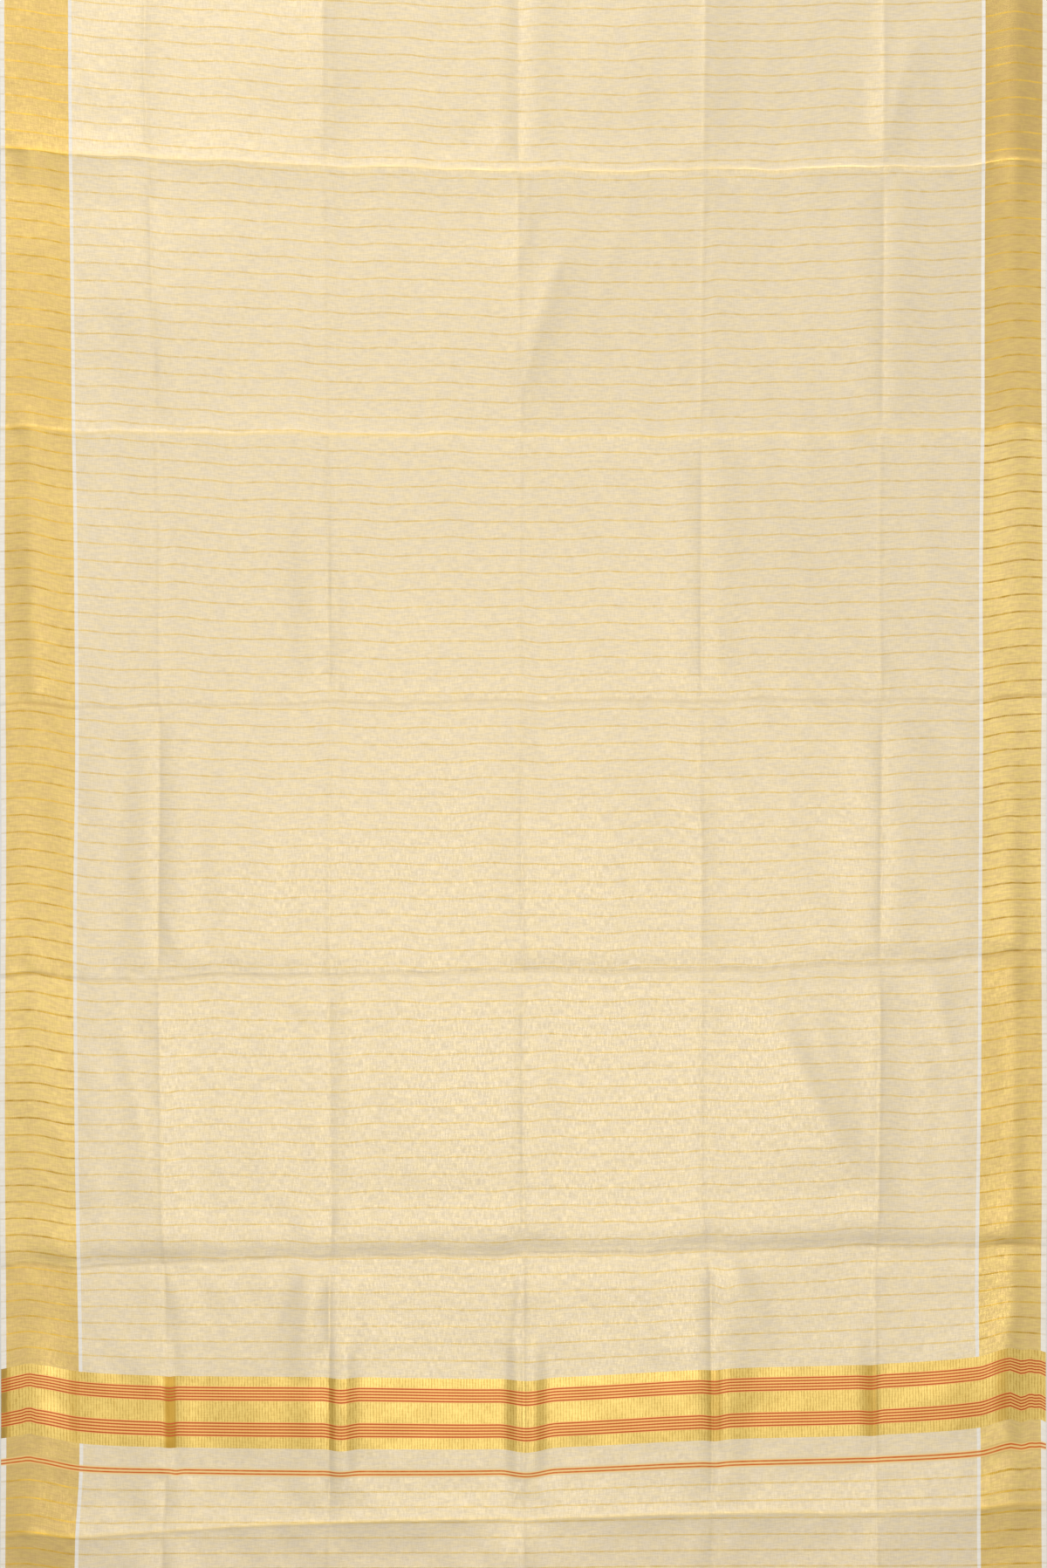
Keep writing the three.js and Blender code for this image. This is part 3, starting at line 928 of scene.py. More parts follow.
@dataclass
class Shell:
    """A thin closed sheet of cloth over a grid of columns and rows.

    Args:
        name: The piece's name.
        columns: The columns' places across the cloth.
        rows: The rows' lines along it.
        finish: The finish of the cloth.
        walls: The thickness at each row, where it isn't the plain cloth's.
    """

    name: str
    columns: Sequence[float]
    rows: Sequence[Line]
    finish: Finish
    walls: Sequence[float] | None = None

    def build(self, material: bpy.types.Material) -> bpy.types.Object:
        """Builds the piece and dresses it.

        Args:
            material: The material of its finish.

        Returns:
            The new object.
        """
        columns = np.asarray(self.columns, float)[None, :]
        middle = np.array([row.along for row in self.rows])[:, None]
        across = CLOTH.column(columns, middle)
        along = np.stack([row.at(across[i]) for i, row in enumerate(self.rows)])
        x, y = CLOTH.place(across, along)
        lift = CLOTH.lift(across, along)
        relief, mask = CLOTH.relief(across, along)
        if self.walls is None:
            high = lift + TOP_HEIGHT + np.maximum(relief, -DEEPEST_CREASE)
            low = np.maximum(0, high - WALL)
        else:
            high = lift + relief + np.reshape(self.walls, (-1, 1))
            low = lift
        points = [np.stack([x, y, z * MM], -1).reshape(-1, 3) for z in (high, low)]
        # The masks of painted shade and highlight: on the creases, and where the metal thread is turned
        # from the light
        turn = CLOTH.band_shade(across) if self.finish is Finish.ZARI else CLOTH.turn(across, along)
        painted_light = {"crease": mask, "turn": turn}
        return self.mesh(np.concatenate(points), across, along, painted_light, material)

    def mesh(
        self,
        points: np.ndarray,
        across: np.ndarray,
        along: np.ndarray,
        painted_light: dict[str, np.ndarray],
        material: bpy.types.Material,
    ) -> bpy.types.Object:
        """Makes the mesh, its maps and its object.

        Args:
            points: The top's points and then the underside's.
            across: The grid's places across the cloth.
            along: The grid's places along it.
            painted_light: The masks of painted shade and highlight on the grid, for the material to read,
                by name.
            material: The material of its finish.

        Returns:
            The new object.
        """
        tall, wide = across.shape
        top, under, walls = quads_of(wide, tall)
        faces = np.concatenate([top, under, walls])
        mesh = bpy.data.meshes.new(self.name)
        mesh.vertices.add(len(points))
        mesh.vertices.foreach_set("co", points.ravel())
        mesh.loops.add(faces.size)
        mesh.loops.foreach_set("vertex_index", faces.ravel())
        mesh.polygons.add(len(faces))
        mesh.polygons.foreach_set("loop_start", np.arange(0, faces.size, 4))
        mesh.polygons.foreach_set("use_smooth", np.ones(len(faces), bool))
        mesh.update(calc_edges=True)
        mesh.set_sharp_from_angle(angle=math.radians(SHARP_ANGLE))
        corners = faces.ravel() % (wide * tall)
        places = np.stack([across.ravel()[corners], along.ravel()[corners]], -1) * MM
        self.add_map(mesh, CLOTH_MAP, places)
        self.add_map(mesh, BAKE_MAP, self.bake_places(corners, len(top), len(walls), wide, tall))
        mesh.uv_layers[CLOTH_MAP].active = True
        for name, values in painted_light.items():
            attribute = mesh.attributes.new(name, "FLOAT", "POINT")
            attribute.data.foreach_set("value", np.tile(values.ravel(), 2))
        mesh.materials.append(material)
        piece = bpy.data.objects.new(self.name, mesh)
        bpy.context.scene.collection.objects.link(piece)
        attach(piece, BODY)
        return piece

    def add_map(self, mesh: bpy.types.Mesh, name: str, places: np.ndarray) -> None:
        """Adds a map to the mesh, with a place for each corner."""
        layer = mesh.uv_layers.new(name=name, do_init=False)
        layer.uv.foreach_set("vector", places.astype(np.float32).ravel())

    def bake_places(self, corners: np.ndarray, tops: int, walls: int, wide: int, tall: int) -> np.ndarray:
        """Lays the top, underside and walls out apart on one square map.

        Args:
            corners: Each corner's number on the grid.
            tops: How many faces the top has.
            walls: How many faces the walls have.
            wide: How many columns the grid has.
            tall: How many rows the grid has.

        Returns:
            Each corner's place on the map.
        """
        u, v = (corners % wide) / (wide - 1), (corners // wide) / (tall - 1)
        half = 4 * tops
        places = np.stack([u, v], -1)
        for side, start in enumerate(BAKE_STARTS):
            part = slice(side * half, (side + 1) * half)
            places[part] = np.array(start) + places[part] * np.array(BAKE_SIZE)
        step = np.arange(walls)[:, None] + np.array([0, 0, 1, 1])
        low, high = BAKE_WALLS
        rise = np.tile([low, high, high, low], (walls, 1))
        places[2 * half :] = np.stack([step / walls, rise], -1).reshape(-1, 2)
        return places


# The shader nodes


@dataclass
class Tree:
    """A node tree that is being wired, with short ways to add its nodes.

    Args:
        tree: The tree.
    """

    tree: bpy.types.NodeTree

    def node(self, kind: str, settings: dict | None = None, **inputs: object) -> bpy.types.Node:
        """Adds a node.

        Args:
            kind: The node's type.
            settings: Properties of the node.
            inputs: Values or sockets for its inputs, with spaces written as underscores.

        Returns:
            The new node.
        """
        node = self.tree.nodes.new(kind)
        for name, value in (settings or {}).items():
            setattr(node, name, value)
        for name, value in inputs.items():
            self.feed(node, name.replace("_", " "), value)
        return node

    def feed(self, node: bpy.types.Node, name: str | int, value: object) -> None:
        """Links a socket to a node's input, or sets it.

        Args:
            node: The node.
            name: The input's name or number.
            value: The socket, or a value.
        """
        socket = node.inputs[name]
        if isinstance(value, bpy.types.NodeSocket):
            self.tree.links.new(value, socket)
        else:
            socket.default_value = value

    def math(self, operation: str, *values: object, clamp: bool = False) -> bpy.types.NodeSocket:
        """Adds a math node.

        Args:
            operation: What it works out.
            values: Values or sockets for its inputs.
            clamp: Whether its result stays between 0 and 1.

        Returns:
            Its result.
        """
        node = self.tree.nodes.new("ShaderNodeMath")
        node.operation = operation
        node.use_clamp = clamp
        for i, value in enumerate(values):
            self.feed(node, i, value)
        return node.outputs[0]

    def mix(self, share: object, first: object, second: object, blend: str = "MIX") -> bpy.types.NodeSocket:
        """Adds a colour mix.

        Args:
            share: How much of the second colour is in it.
            first: The first colour.
            second: The second colour.
            blend: How they are blended.

        Returns:
            Its result.
        """
        node = self.tree.nodes.new("ShaderNodeMix")
        node.data_type = "RGBA"
        node.blend_type = blend
        self.feed(node, 0, share)
        self.feed(node, 6, first)
        self.feed(node, 7, second)
        return node.outputs[2]

    def ramp(
        self, value: object, low: object, high: object, start: float = 0.0, end: float = 1.0
    ) -> bpy.types.NodeSocket:
        """Adds a smooth step.

        Args:
            value: What is stepped.
            low: Where the step starts.
            high: Where it ends.
            start: The result at its start.
            end: The result at its end.

        Returns:
            Its result.
        """
        inputs = {"Value": value, "From_Min": low, "From_Max": high, "To_Min": start, "To_Max": end}
        return self.node("ShaderNodeMapRange", {"interpolation_type": "SMOOTHSTEP"}, **inputs).outputs[0]

    def group(self, group: bpy.types.NodeTree, **inputs: object) -> bpy.types.Node:
        """Places a node group.

        Args:
            group: The group.
            inputs: Values or sockets for its inputs, with spaces as underscores.

        Returns:
            The new node.
        """
        node = self.tree.nodes.new("ShaderNodeGroup")
        node.node_tree = group
        for name, value in inputs.items():
            self.feed(node, name.replace("_", " "), value)
        return node


def new_group(
    name: str, inputs: dict[str, float | None], outputs: Sequence[str]
) -> tuple[Tree, bpy.types.Node, bpy.types.Node]:
    """Makes a shader node group.

    Args:
        name: The group's name.
        inputs: Its inputs and their values, with None for a vector.
        outputs: Its outputs, all of them values.

    Returns:
        The group's tree, and its input and output nodes.
    """
    tree = bpy.data.node_groups.new(name, "ShaderNodeTree")
    for label, value in inputs.items():
        kind = "NodeSocketVector" if value is None else "NodeSocketFloat"
        socket = tree.interface.new_socket(label, in_out="INPUT", socket_type=kind)
        if value is not None:
            socket.default_value = value
    for label in outputs:
        tree.interface.new_socket(label, in_out="OUTPUT", socket_type="NodeSocketFloat")
    return Tree(tree), tree.nodes.new("NodeGroupInput"), tree.nodes.new("NodeGroupOutput")


def tabby_group() -> bpy.types.NodeTree:
    """Makes the plain weave: threads over and under each other, in height.

    Returns:
        The group.
    """
    inputs = {"Place": None, "Warp Pitch": 0.0007, "Weft Pitch": 0.0007}
    tree, given, result = new_group("tabby_weave", inputs, ("Height",))
    split = tree.node("ShaderNodeSeparateXYZ", Vector=given.outputs["Place"])
    threads = []
    for axis, pitch in (("X", "Warp Pitch"), ("Y", "Weft Pitch")):
        count = tree.math("DIVIDE", split.outputs[axis], given.outputs[pitch])
        threads.append(tree.math("SINE", tree.math("MULTIPLY", count, math.pi)))
    crossing = tree.math("MULTIPLY", *threads)
    tree.feed(result, "Height", tree.math("MULTIPLY_ADD", crossing, 0.5, 0.5))
    return tree.tree


def lines_group() -> bpy.types.NodeTree:
    """Makes lines that repeat at a pitch between a start and an end.

    Returns:
        The group.
    """
    inputs = {
        "Place": 0.0,
        "First": 0.0,
        "Pitch": 0.02,
        "Width": 0.001,
        "Start": 0.0,
        "End": 1.0,
        "Softness": 0.0004,
    }
    tree, given, result = new_group("repeated_lines", inputs, ("Mask",))
    off = tree.math("SUBTRACT", given.outputs["Place"], given.outputs["First"])
    turn = tree.math("FRACT", tree.math("ADD", tree.math("DIVIDE", off, given.outputs["Pitch"]), 0.5))
    near = tree.math("ABSOLUTE", tree.math("SUBTRACT", turn, 0.5))
    near = tree.math("MULTIPLY", near, given.outputs["Pitch"])
    half = tree.math("MULTIPLY", given.outputs["Width"], 0.5)
    low = tree.math("SUBTRACT", half, given.outputs["Softness"])
    high = tree.math("ADD", half, given.outputs["Softness"])
    mask = tree.ramp(near, low, high, 1.0, 0.0)
    after = tree.math("GREATER_THAN", given.outputs["Place"], given.outputs["Start"])
    before = tree.math("LESS_THAN", given.outputs["Place"], given.outputs["End"])
    tree.feed(result, "Mask", tree.math("MULTIPLY", mask, tree.math("MULTIPLY", after, before)))
    return tree.tree


# The values that a noise mostly stays between
NOISE_RANGE = (0.28, 0.72)


def slub_group() -> bpy.types.NodeTree:
    """Makes the uneven threads: short streaks both ways, small tinted spots, and flecks along the weft.

    Returns:
        The group.
    """
    inputs = {"Place": None, "Streak Length": 0.009, "Streak Width": 0.0013}
    tree, given, result = new_group("uneven_threads", inputs, ("Weft", "Warp", "Tint", "Fleck"))
    split = tree.node("ShaderNodeSeparateXYZ", Vector=given.outputs["Place"])
    length, width = given.outputs["Streak Length"], given.outputs["Streak Width"]
    sizes = {
        "Weft": (length, width, 1.0),
        "Warp": (width, length, 1.0),
        "Tint": (0.014, 0.0032, 0.0),
        "Fleck": (0.024, 0.012, 0.0),
    }
    for label, (wide, tall, detail) in sizes.items():
        place = tree.node(
            "ShaderNodeCombineXYZ",
            X=tree.math("DIVIDE", split.outputs["X"], wide),
            Y=tree.math("DIVIDE", split.outputs["Y"], tall),
        )
        flat = {"noise_dimensions": "2D"}
        noise = tree.node("ShaderNodeTexNoise", flat, Vector=place.outputs[0], Scale=1.0, Detail=detail)
        tree.feed(result, label, tree.ramp(noise.outputs[0], *NOISE_RANGE))
    return tree.tree


@dataclass
class Effects:
    """The shared shader groups, each built once.

    Args:
        tabby: The plain weave.
        lines: Lines that repeat.
        slub: Uneven threads.
    """

    tabby: bpy.types.NodeTree = field(default_factory=tabby_group)
    lines: bpy.types.NodeTree = field(default_factory=lines_group)
    slub: bpy.types.NodeTree = field(default_factory=slub_group)


def colour(red: int, green: int, blue: int) -> Colour:
    """Returns a linear colour from its display values, 0 to 255."""
    linear = [((c / 255 + 0.055) / 1.055) ** 2.4 if c > 10 else c / 255 / 12.92 for c in (red, green, blue)]
    return (*linear, 1.0)


# The fine gold weft lines, in metres: their pitch and first place on the body and at the pallu end,
# their width, and how far they stay from the gold band and the orange lines
WEFT_LINE_PITCH = 0.019125
WEFT_LINE_FIRST = 0.352
WEFT_LINE_WIDTH = 0.0019
END_LINE_FIRST = 0.2068
END_LINE_PITCH = 0.0172
BAND_CLEARANCE = 0.008
ORANGE_CLEARANCE = 0.004

# The dashes in which a weft line shows between the warp threads, in metres, how strong the line is
# between them, and how much the dashes and the uneven threads add
DASH_PITCH = 0.0023
DASH_WIDTH = 0.0013
DASH_SOFTNESS = 0.0005
LINE_LEAST = 0.4
LINE_DASHES = 0.35
LINE_THREADS = 0.5

# How much of the painted glint shows on the flecks and on turned threads, and how strong the painted shade
# and highlight on the creases are
FLECK_GLINT = 0.4
TURN_GLINT = 0.5
CREASE_SHADE_AND_GLINT = 0.5

# How much of a thread's own height the streaks and the weft lines add, and how far the roughness spreads
STREAK_HEIGHT = 0.6
LINE_HEIGHT = 0.3
ROUGHNESS_SPREAD = 0.12
SHEEN_ROUGHNESS = 0.4

# How dark the cloth is between its threads, how much stronger the weft's streaks are than the
# warp's, and how far the threads stand out
THREAD_SHADE = (0.8, 0.785, 0.74, 1.0)
WEFT_STREAKS = 1.4
THREAD_BUMP = {"Strength": 0.35, "Distance": 0.00012}

# Places beyond both sides of the cloth, for lines that cross all of it
ALL_ACROSS = {"Start": -1.0, "End": 2.0}


def start_material(
    name: str,
) -> tuple[bpy.types.Material, Tree, bpy.types.Node, bpy.types.Node, bpy.types.Node]:
    """Starts a material of the cloth.

    Args:
        name: The material's name.

    Returns:
        The material, its tree and its shader, a node with the place on the cloth in metres, and a node
        with the place's X across the cloth and Y along it.
    """
    made = bpy.data.materials.new(name)
    made.use_nodes = True
    tree = Tree(made.node_tree)
    cloth = tree.node("ShaderNodeUVMap", {"uv_map": CLOTH_MAP})
    split = tree.node("ShaderNodeSeparateXYZ", Vector=cloth.outputs[0])
    return made, tree, made.node_tree.nodes["Principled BSDF"], cloth, split


@dataclass(frozen=True)
class ClothFinish:
    """The finish of a plain strip of the cloth, with the fine gold lines woven across it.

    Args:
        finish: Which finish it is.
        thread: The colour of its threads.
        tint: Their colour where they are tinted.
        line: The colour of the fine lines across it, where they don't glint.
        line_share: How strongly the lines show.
        roughness: How rough the threads are.
        metallic: How much of the thread is metal.
        sheen: How much the cloth glows at a slant.
        streaks: How uneven the threads look.
        gloss: How strongly the threads glint.
        glint: The colour of the glints: the gloss's tint, and the painted highlight on ridge creases and
            weft lines.
        painted_shading: The colour of the painted shade on a sharp crease and on threads turned from the
            light.
        turned: How strongly the painted shade darkens threads that are turned from the light.
    """

    finish: Finish
    thread: Colour
    tint: Colour
    line: Colour
    line_share: float
    roughness: float
    metallic: float
    sheen: float
    streaks: float
    gloss: float
    glint: Colour
    painted_shading: Colour
    turned: float = 0.0

    def material(self, effects: Effects) -> bpy.types.Material:
        """Builds the material.

        Args:
            effects: The shared shader groups.

        Returns:
            The new material.
        """
        made, tree, shader, cloth, split = start_material(f"{self.finish.value}_cloth")
        along = split.outputs["Y"]
        slub = tree.group(effects.slub, Place=cloth.outputs[0])
        body = tree.group(
            effects.lines, Place=along, First=WEFT_LINE_FIRST, Pitch=WEFT_LINE_PITCH, Width=WEFT_LINE_WIDTH,
            Start=GOLD_BAND[1] * MM + BAND_CLEARANCE, End=(CLOTH_LENGTH - 2 * HEM_WIDTH) * MM,
        )
        end = tree.group(
            effects.lines, Place=along, First=END_LINE_FIRST, Pitch=END_LINE_PITCH, Width=WEFT_LINE_WIDTH,
            Start=2 * HEM_WIDTH * MM, End=ORANGE_LINE[0] * MM - ORANGE_CLEARANCE,
        )
        lines = tree.math("ADD", body.outputs[0], end.outputs[0], clamp=True)
        dashes = tree.group(
            effects.lines, Place=split.outputs["X"], Pitch=DASH_PITCH, Width=DASH_WIDTH,
            Softness=DASH_SOFTNESS, **ALL_ACROSS,
        )
        broken = tree.math("MULTIPLY_ADD", slub.outputs["Weft"], LINE_THREADS, LINE_LEAST)
        broken = tree.math("MULTIPLY_ADD", dashes.outputs[0], LINE_DASHES, broken)
        share = tree.math("MULTIPLY", lines, tree.math("MULTIPLY", broken, self.line_share), clamp=True)
        uneven = tree.math("MULTIPLY_ADD", slub.outputs["Weft"], WEFT_STREAKS, slub.outputs["Warp"])
        uneven = tree.math("MULTIPLY", uneven, self.streaks / (WEFT_STREAKS + 1))
        tinted = tree.mix(slub.outputs["Tint"], self.thread, self.tint)
        threads = tree.mix(uneven, tinted, THREAD_SHADE, "MULTIPLY")
        lit = tree.math("MULTIPLY", slub.outputs["Fleck"], FLECK_GLINT)
        # Painted shade on threads turned from the light, and a painted glint on their weft lines
        if self.turned:
            turn = tree.node("ShaderNodeAttribute", {"attribute_name": "turn"})
            threads = tree.mix(tree.math("MULTIPLY", turn.outputs["Fac"], self.turned), threads, self.painted_shading)
            lit = tree.math("MULTIPLY_ADD", turn.outputs["Fac"], TURN_GLINT, lit, clamp=True)
        glinting = tree.mix(lit, self.line, self.glint)
        lined = tree.mix(share, threads, glinting)
        # Painted shade on the troughs' creases and painted highlight on the ridges' creases
        crease = tree.node("ShaderNodeAttribute", {"attribute_name": "crease"})
        dark = tree.math("MULTIPLY", crease.outputs["Fac"], -CREASE_SHADE_AND_GLINT, clamp=True)
        light = tree.math("MULTIPLY", crease.outputs["Fac"], CREASE_SHADE_AND_GLINT, clamp=True)
        painted_light = tree.mix(light, tree.mix(dark, lined, self.painted_shading), self.glint)
        tree.feed(shader, "Base Color", painted_light)
        weave = tree.group(effects.tabby, Place=cloth.outputs[0])
        height = tree.math("MULTIPLY_ADD", slub.outputs["Weft"], STREAK_HEIGHT, weave.outputs[0])
        height = tree.math("MULTIPLY_ADD", lines, LINE_HEIGHT, height)
        bump = tree.node("ShaderNodeBump", **THREAD_BUMP, Height=height)
        tree.feed(shader, "Normal", bump.outputs[0])
        least = self.roughness - ROUGHNESS_SPREAD / 2
        rough = tree.math("MULTIPLY_ADD", slub.outputs["Warp"], ROUGHNESS_SPREAD, least)
        tree.feed(shader, "Roughness", rough)
        tree.feed(shader, "Metallic", self.metallic)
        tree.feed(shader, "Specular IOR Level", self.gloss)
        tree.feed(shader, "Specular Tint", self.glint)
        tree.feed(shader, "Sheen Weight", self.sheen)
        tree.feed(shader, "Sheen Roughness", SHEEN_ROUGHNESS)
        return made


@dataclass(frozen=True)
class ZariFinish:
    """The metallic gold band, with its fine ribs and its two groups of orange lines.

    Args:
        gold: The colour of the metal thread.
        shadow: Its colour between the ribs.
        turned: The colour of the painted shade where the metal thread is turned from the light.
        orange: The colour of the orange lines.
        peach: The colour between the orange lines.
        reverse: The colour of the threads' turns at the left selvedge.
        first_groups: Where the first line of each group lies, along the cloth in metres.
        line_pitch: How far the lines are apart.
        line_width: How wide a line is.
        line_count: How many lines a group has.
        rib_pitch: How far the ribs are apart.
        rib_width: How wide the shade between two ribs is.
        rib_wander: How far the ribs stray.
        rib_shade: How much of the shadow shows between the ribs.
        warp_shade: How much of it the uneven warp adds.
        weft_shade: How much of it the uneven weft adds.
        reverse_edge: Where the threads' turns begin to fade and end, from the left edge in metres.
        reverse_share: How strongly they show.
        bed_share: How much of the peach shows between the orange lines.
        metallic: How much of the thread is metal.
        roughness: How rough it is.
        gloss: How strongly it glints.
    """

    gold: Colour = colour(252, 219, 124)
    shadow: Colour = colour(190, 146, 44)
    turned: Colour = colour(188, 144, 34)
    orange: Colour = colour(198, 72, 0)
    peach: Colour = colour(255, 198, 112)
    reverse: Colour = colour(122, 102, 62)
    first_groups: tuple[float, float] = (0.2672, 0.3062)
    line_pitch: float = 0.0033
    line_width: float = 0.0016
    line_count: int = 5
    rib_pitch: float = 0.0033
    rib_width: float = 0.001
    rib_wander: float = 0.0008
    rib_shade: float = 0.46
    warp_shade: float = 0.14
    weft_shade: float = 0.16
    reverse_edge: tuple[float, float] = (0.004, 0.007)
    reverse_share: float = 0.75
    bed_share: float = 0.85
    metallic: float = 0.3
    roughness: float = 0.31
    gloss: float = 0.4

    def material(self, effects: Effects) -> bpy.types.Material:
        """Builds the material.

        Args:
            effects: The shared shader groups.

        Returns:
            The new material.
        """
        made, tree, shader, cloth, split = start_material("zari_cloth")
        slub = tree.group(effects.slub, Place=cloth.outputs[0], Streak_Length=0.009, Streak_Width=0.0014)
        jitter = tree.math("MULTIPLY_ADD", slub.outputs["Warp"], self.rib_wander, split.outputs["X"])
        ribs = tree.group(
            effects.lines, Place=jitter, Pitch=self.rib_pitch, Width=self.rib_width, **ALL_ACROSS
        )
        uneven = tree.math("MULTIPLY", ribs.outputs[0], self.rib_shade)
        uneven = tree.math("MULTIPLY_ADD", slub.outputs["Warp"], self.warp_shade, uneven)
        uneven = tree.math("MULTIPLY_ADD", slub.outputs["Weft"], self.weft_shade, uneven)
        edge = tree.ramp(split.outputs["X"], *self.reverse_edge, self.reverse_share, 0.0)
        gold = tree.mix(edge, tree.mix(uneven, self.gold, self.shadow), self.reverse)
        length = (self.line_count - 1) * self.line_pitch
        bed = lines = None
        for first in self.first_groups:
            low, high = first - self.line_pitch / 2, first + length + self.line_pitch / 2
            group = tree.group(
                effects.lines, Place=split.outputs["Y"], First=first, Pitch=self.line_pitch,
                Width=self.line_width, Start=low, End=high, Softness=0.0003,
            )
            inside = tree.math(
                "MULTIPLY",
                tree.math("GREATER_THAN", split.outputs["Y"], low),
                tree.math("LESS_THAN", split.outputs["Y"], high),
            )
            bed = inside if bed is None else tree.math("ADD", bed, inside)
            lines = group.outputs[0] if lines is None else tree.math("ADD", lines, group.outputs[0])
        striped = tree.mix(tree.math("MULTIPLY", bed, self.bed_share), gold, self.peach)
        dashed = tree.math("MULTIPLY", lines, tree.math("MULTIPLY_ADD", ribs.outputs[0], 0.06, 0.93))
        # Painted shade bars where the band's metal thread is turned from the light
        turn = tree.node("ShaderNodeAttribute", {"attribute_name": "turn"})
        shaded = tree.mix(turn.outputs["Fac"], striped, self.turned)
        tree.feed(shader, "Base Color", tree.mix(dashed, shaded, self.orange))
        tree.feed(shader, "Metallic", tree.math("MULTIPLY_ADD", bed, -0.05, self.metallic))
        tree.feed(shader, "Specular IOR Level", self.gloss)
        tree.feed(shader, "Roughness", tree.math("MULTIPLY_ADD", bed, 0.06, self.roughness))
        height = tree.math("ADD", ribs.outputs[0], lines)
        bump = tree.node("ShaderNodeBump", Strength=0.2, Distance=0.0001, Height=height)
        tree.feed(shader, "Normal", bump.outputs[0])
        return made


@dataclass(frozen=True)
class OrangeFinish:
    """The narrow strip with two orange lines between pale gold edges.

    Args:
        ground: The colour of the strip.
        border: Its colour on the gold borders.
        white: Its colour on the white lines and selvedges.
        edge: The colour of the gold edges.
        orange: The colour of the two lines.
        first: Where the first line lies, along the cloth in metres.
        pitch: How far the two lines are apart.
        width: How wide a line is.
        edge_share: How strongly the pale gold edges show.
        metallic: How much of the thread is metal.
        roughness: How rough it is where the warp is thin.
        gloss: How strongly it glints.
        sheen: How much the cloth glows at a slant.
    """

    ground: Colour = colour(240, 221, 184)
    border: Colour = colour(226, 192, 120)
    white: Colour = colour(252, 245, 232)
    edge: Colour = colour(255, 220, 142)
    orange: Colour = colour(216, 84, 2)
    first: float = 0.2258
    pitch: float = 0.0034
    width: float = 0.0017
    edge_share: float = 0.8
    metallic: float = 0.15
    roughness: float = 0.4
    gloss: float = 0.8
    sheen: float = 0.1

    def material(self, effects: Effects) -> bpy.types.Material:
        """Builds the material.

        Args:
            effects: The shared shader groups.

        Returns:
            The new material.
        """
        made, tree, shader, cloth, split = start_material("orange_cloth")
        slub = tree.group(effects.slub, Place=cloth.outputs[0])
        lines = tree.group(
            effects.lines, Place=split.outputs["Y"], First=self.first, Pitch=self.pitch, Width=self.width,
            Start=self.first - self.pitch / 2, End=self.first + 1.5 * self.pitch,
        )
        from_middle = tree.math("SUBTRACT", split.outputs["Y"], self.first + self.pitch / 2)
        from_middle = tree.math("ABSOLUTE", from_middle)
        edge = tree.ramp(from_middle, 0.9 * self.pitch, 1.3 * self.pitch, 1.0, 0.0)
        plain = self.ground
        for woven in STRIPS:
            if woven is not GROUND:
                middle, half = (woven.start + woven.end) / 2 * MM, (woven.end - woven.start) / 2 * MM
                off = tree.math("SUBTRACT", split.outputs["X"], middle)
                own = self.border if woven.finish is Finish.GOLD else self.white
                plain = tree.mix(tree.math("COMPARE", off, 0.0, half), plain, own)
        strip = tree.mix(tree.math("MULTIPLY", edge, self.edge_share), plain, self.edge)
        dense = tree.math("MULTIPLY_ADD", slub.outputs["Weft"], -0.15, 0.95)
        share = tree.math("MULTIPLY", lines.outputs[0], dense)
        tree.feed(shader, "Base Color", tree.mix(share, strip, self.orange))
        weave = tree.group(effects.tabby, Place=cloth.outputs[0])
        bump = tree.node("ShaderNodeBump", **THREAD_BUMP, Height=weave.outputs[0])
        tree.feed(shader, "Normal", bump.outputs[0])
        tree.feed(shader, "Roughness", tree.math("MULTIPLY_ADD", slub.outputs["Warp"], 0.1, self.roughness))
        tree.feed(shader, "Metallic", self.metallic)
        tree.feed(shader, "Specular IOR Level", self.gloss)
        tree.feed(shader, "Specular Tint", self.edge)
        tree.feed(shader, "Sheen Weight", self.sheen)
        return made


CLOTH_FINISHES = (
    ClothFinish(
        Finish.TISSUE, colour(248, 231, 195), colour(243, 228, 202), colour(224, 188, 102), line_share=0.7,
        roughness=0.34, metallic=0.1, sheen=0.1, streaks=0.64, gloss=1.0, glint=colour(255, 222, 134),
        painted_shading=colour(214, 192, 150),
    ),
    ClothFinish(
        Finish.GOLD, colour(254, 226, 149), colour(247, 217, 151), colour(182, 136, 36), line_share=0.9,
        roughness=0.36, metallic=0.3, sheen=0.1, streaks=0.74, gloss=1.0, glint=colour(255, 210, 92),
        painted_shading=colour(184, 146, 80), turned=0.5,
    ),
    ClothFinish(
        Finish.WHITE, colour(255, 250, 240), colour(252, 245, 232), colour(214, 190, 140), line_share=0.35,
        roughness=0.8, metallic=0.0, sheen=0.1, streaks=0.25, gloss=0.4, glint=colour(240, 220, 170),
        painted_shading=colour(214, 206, 190),
    ),
)


@dataclass
class Wardrobe:
    """The materials of the cloth, by finish.

    Args:
        effects: The shared shader groups.
    """

    effects: Effects = field(default_factory=Effects)
    made: dict[Finish, bpy.types.Material] = field(default_factory=dict)

    def fill(self) -> "Wardrobe":
        """Builds every material.

        Returns:
            The wardrobe itself.
        """
        for finish in CLOTH_FINISHES:
            self.made[finish.finish] = finish.material(self.effects)
        self.made[Finish.ZARI] = ZariFinish().material(self.effects)
        self.made[Finish.ORANGE] = OrangeFinish().material(self.effects)
        return self


# A hem's thickness from its round outer edge to where it is sewn down, by share of its width
STITCH_SHARE, STITCH_LEVEL = 0.82, 2.2
HEM_PROFILE = (
    (0, 0.9),
    (0.06, 1.7),
    (0.18, 2.2),
    (0.35, 2.4),
    (0.6, 2.4),
    (STITCH_SHARE, STITCH_LEVEL),
    (0.94, 1.8),
    (1, TOP_HEIGHT),
)


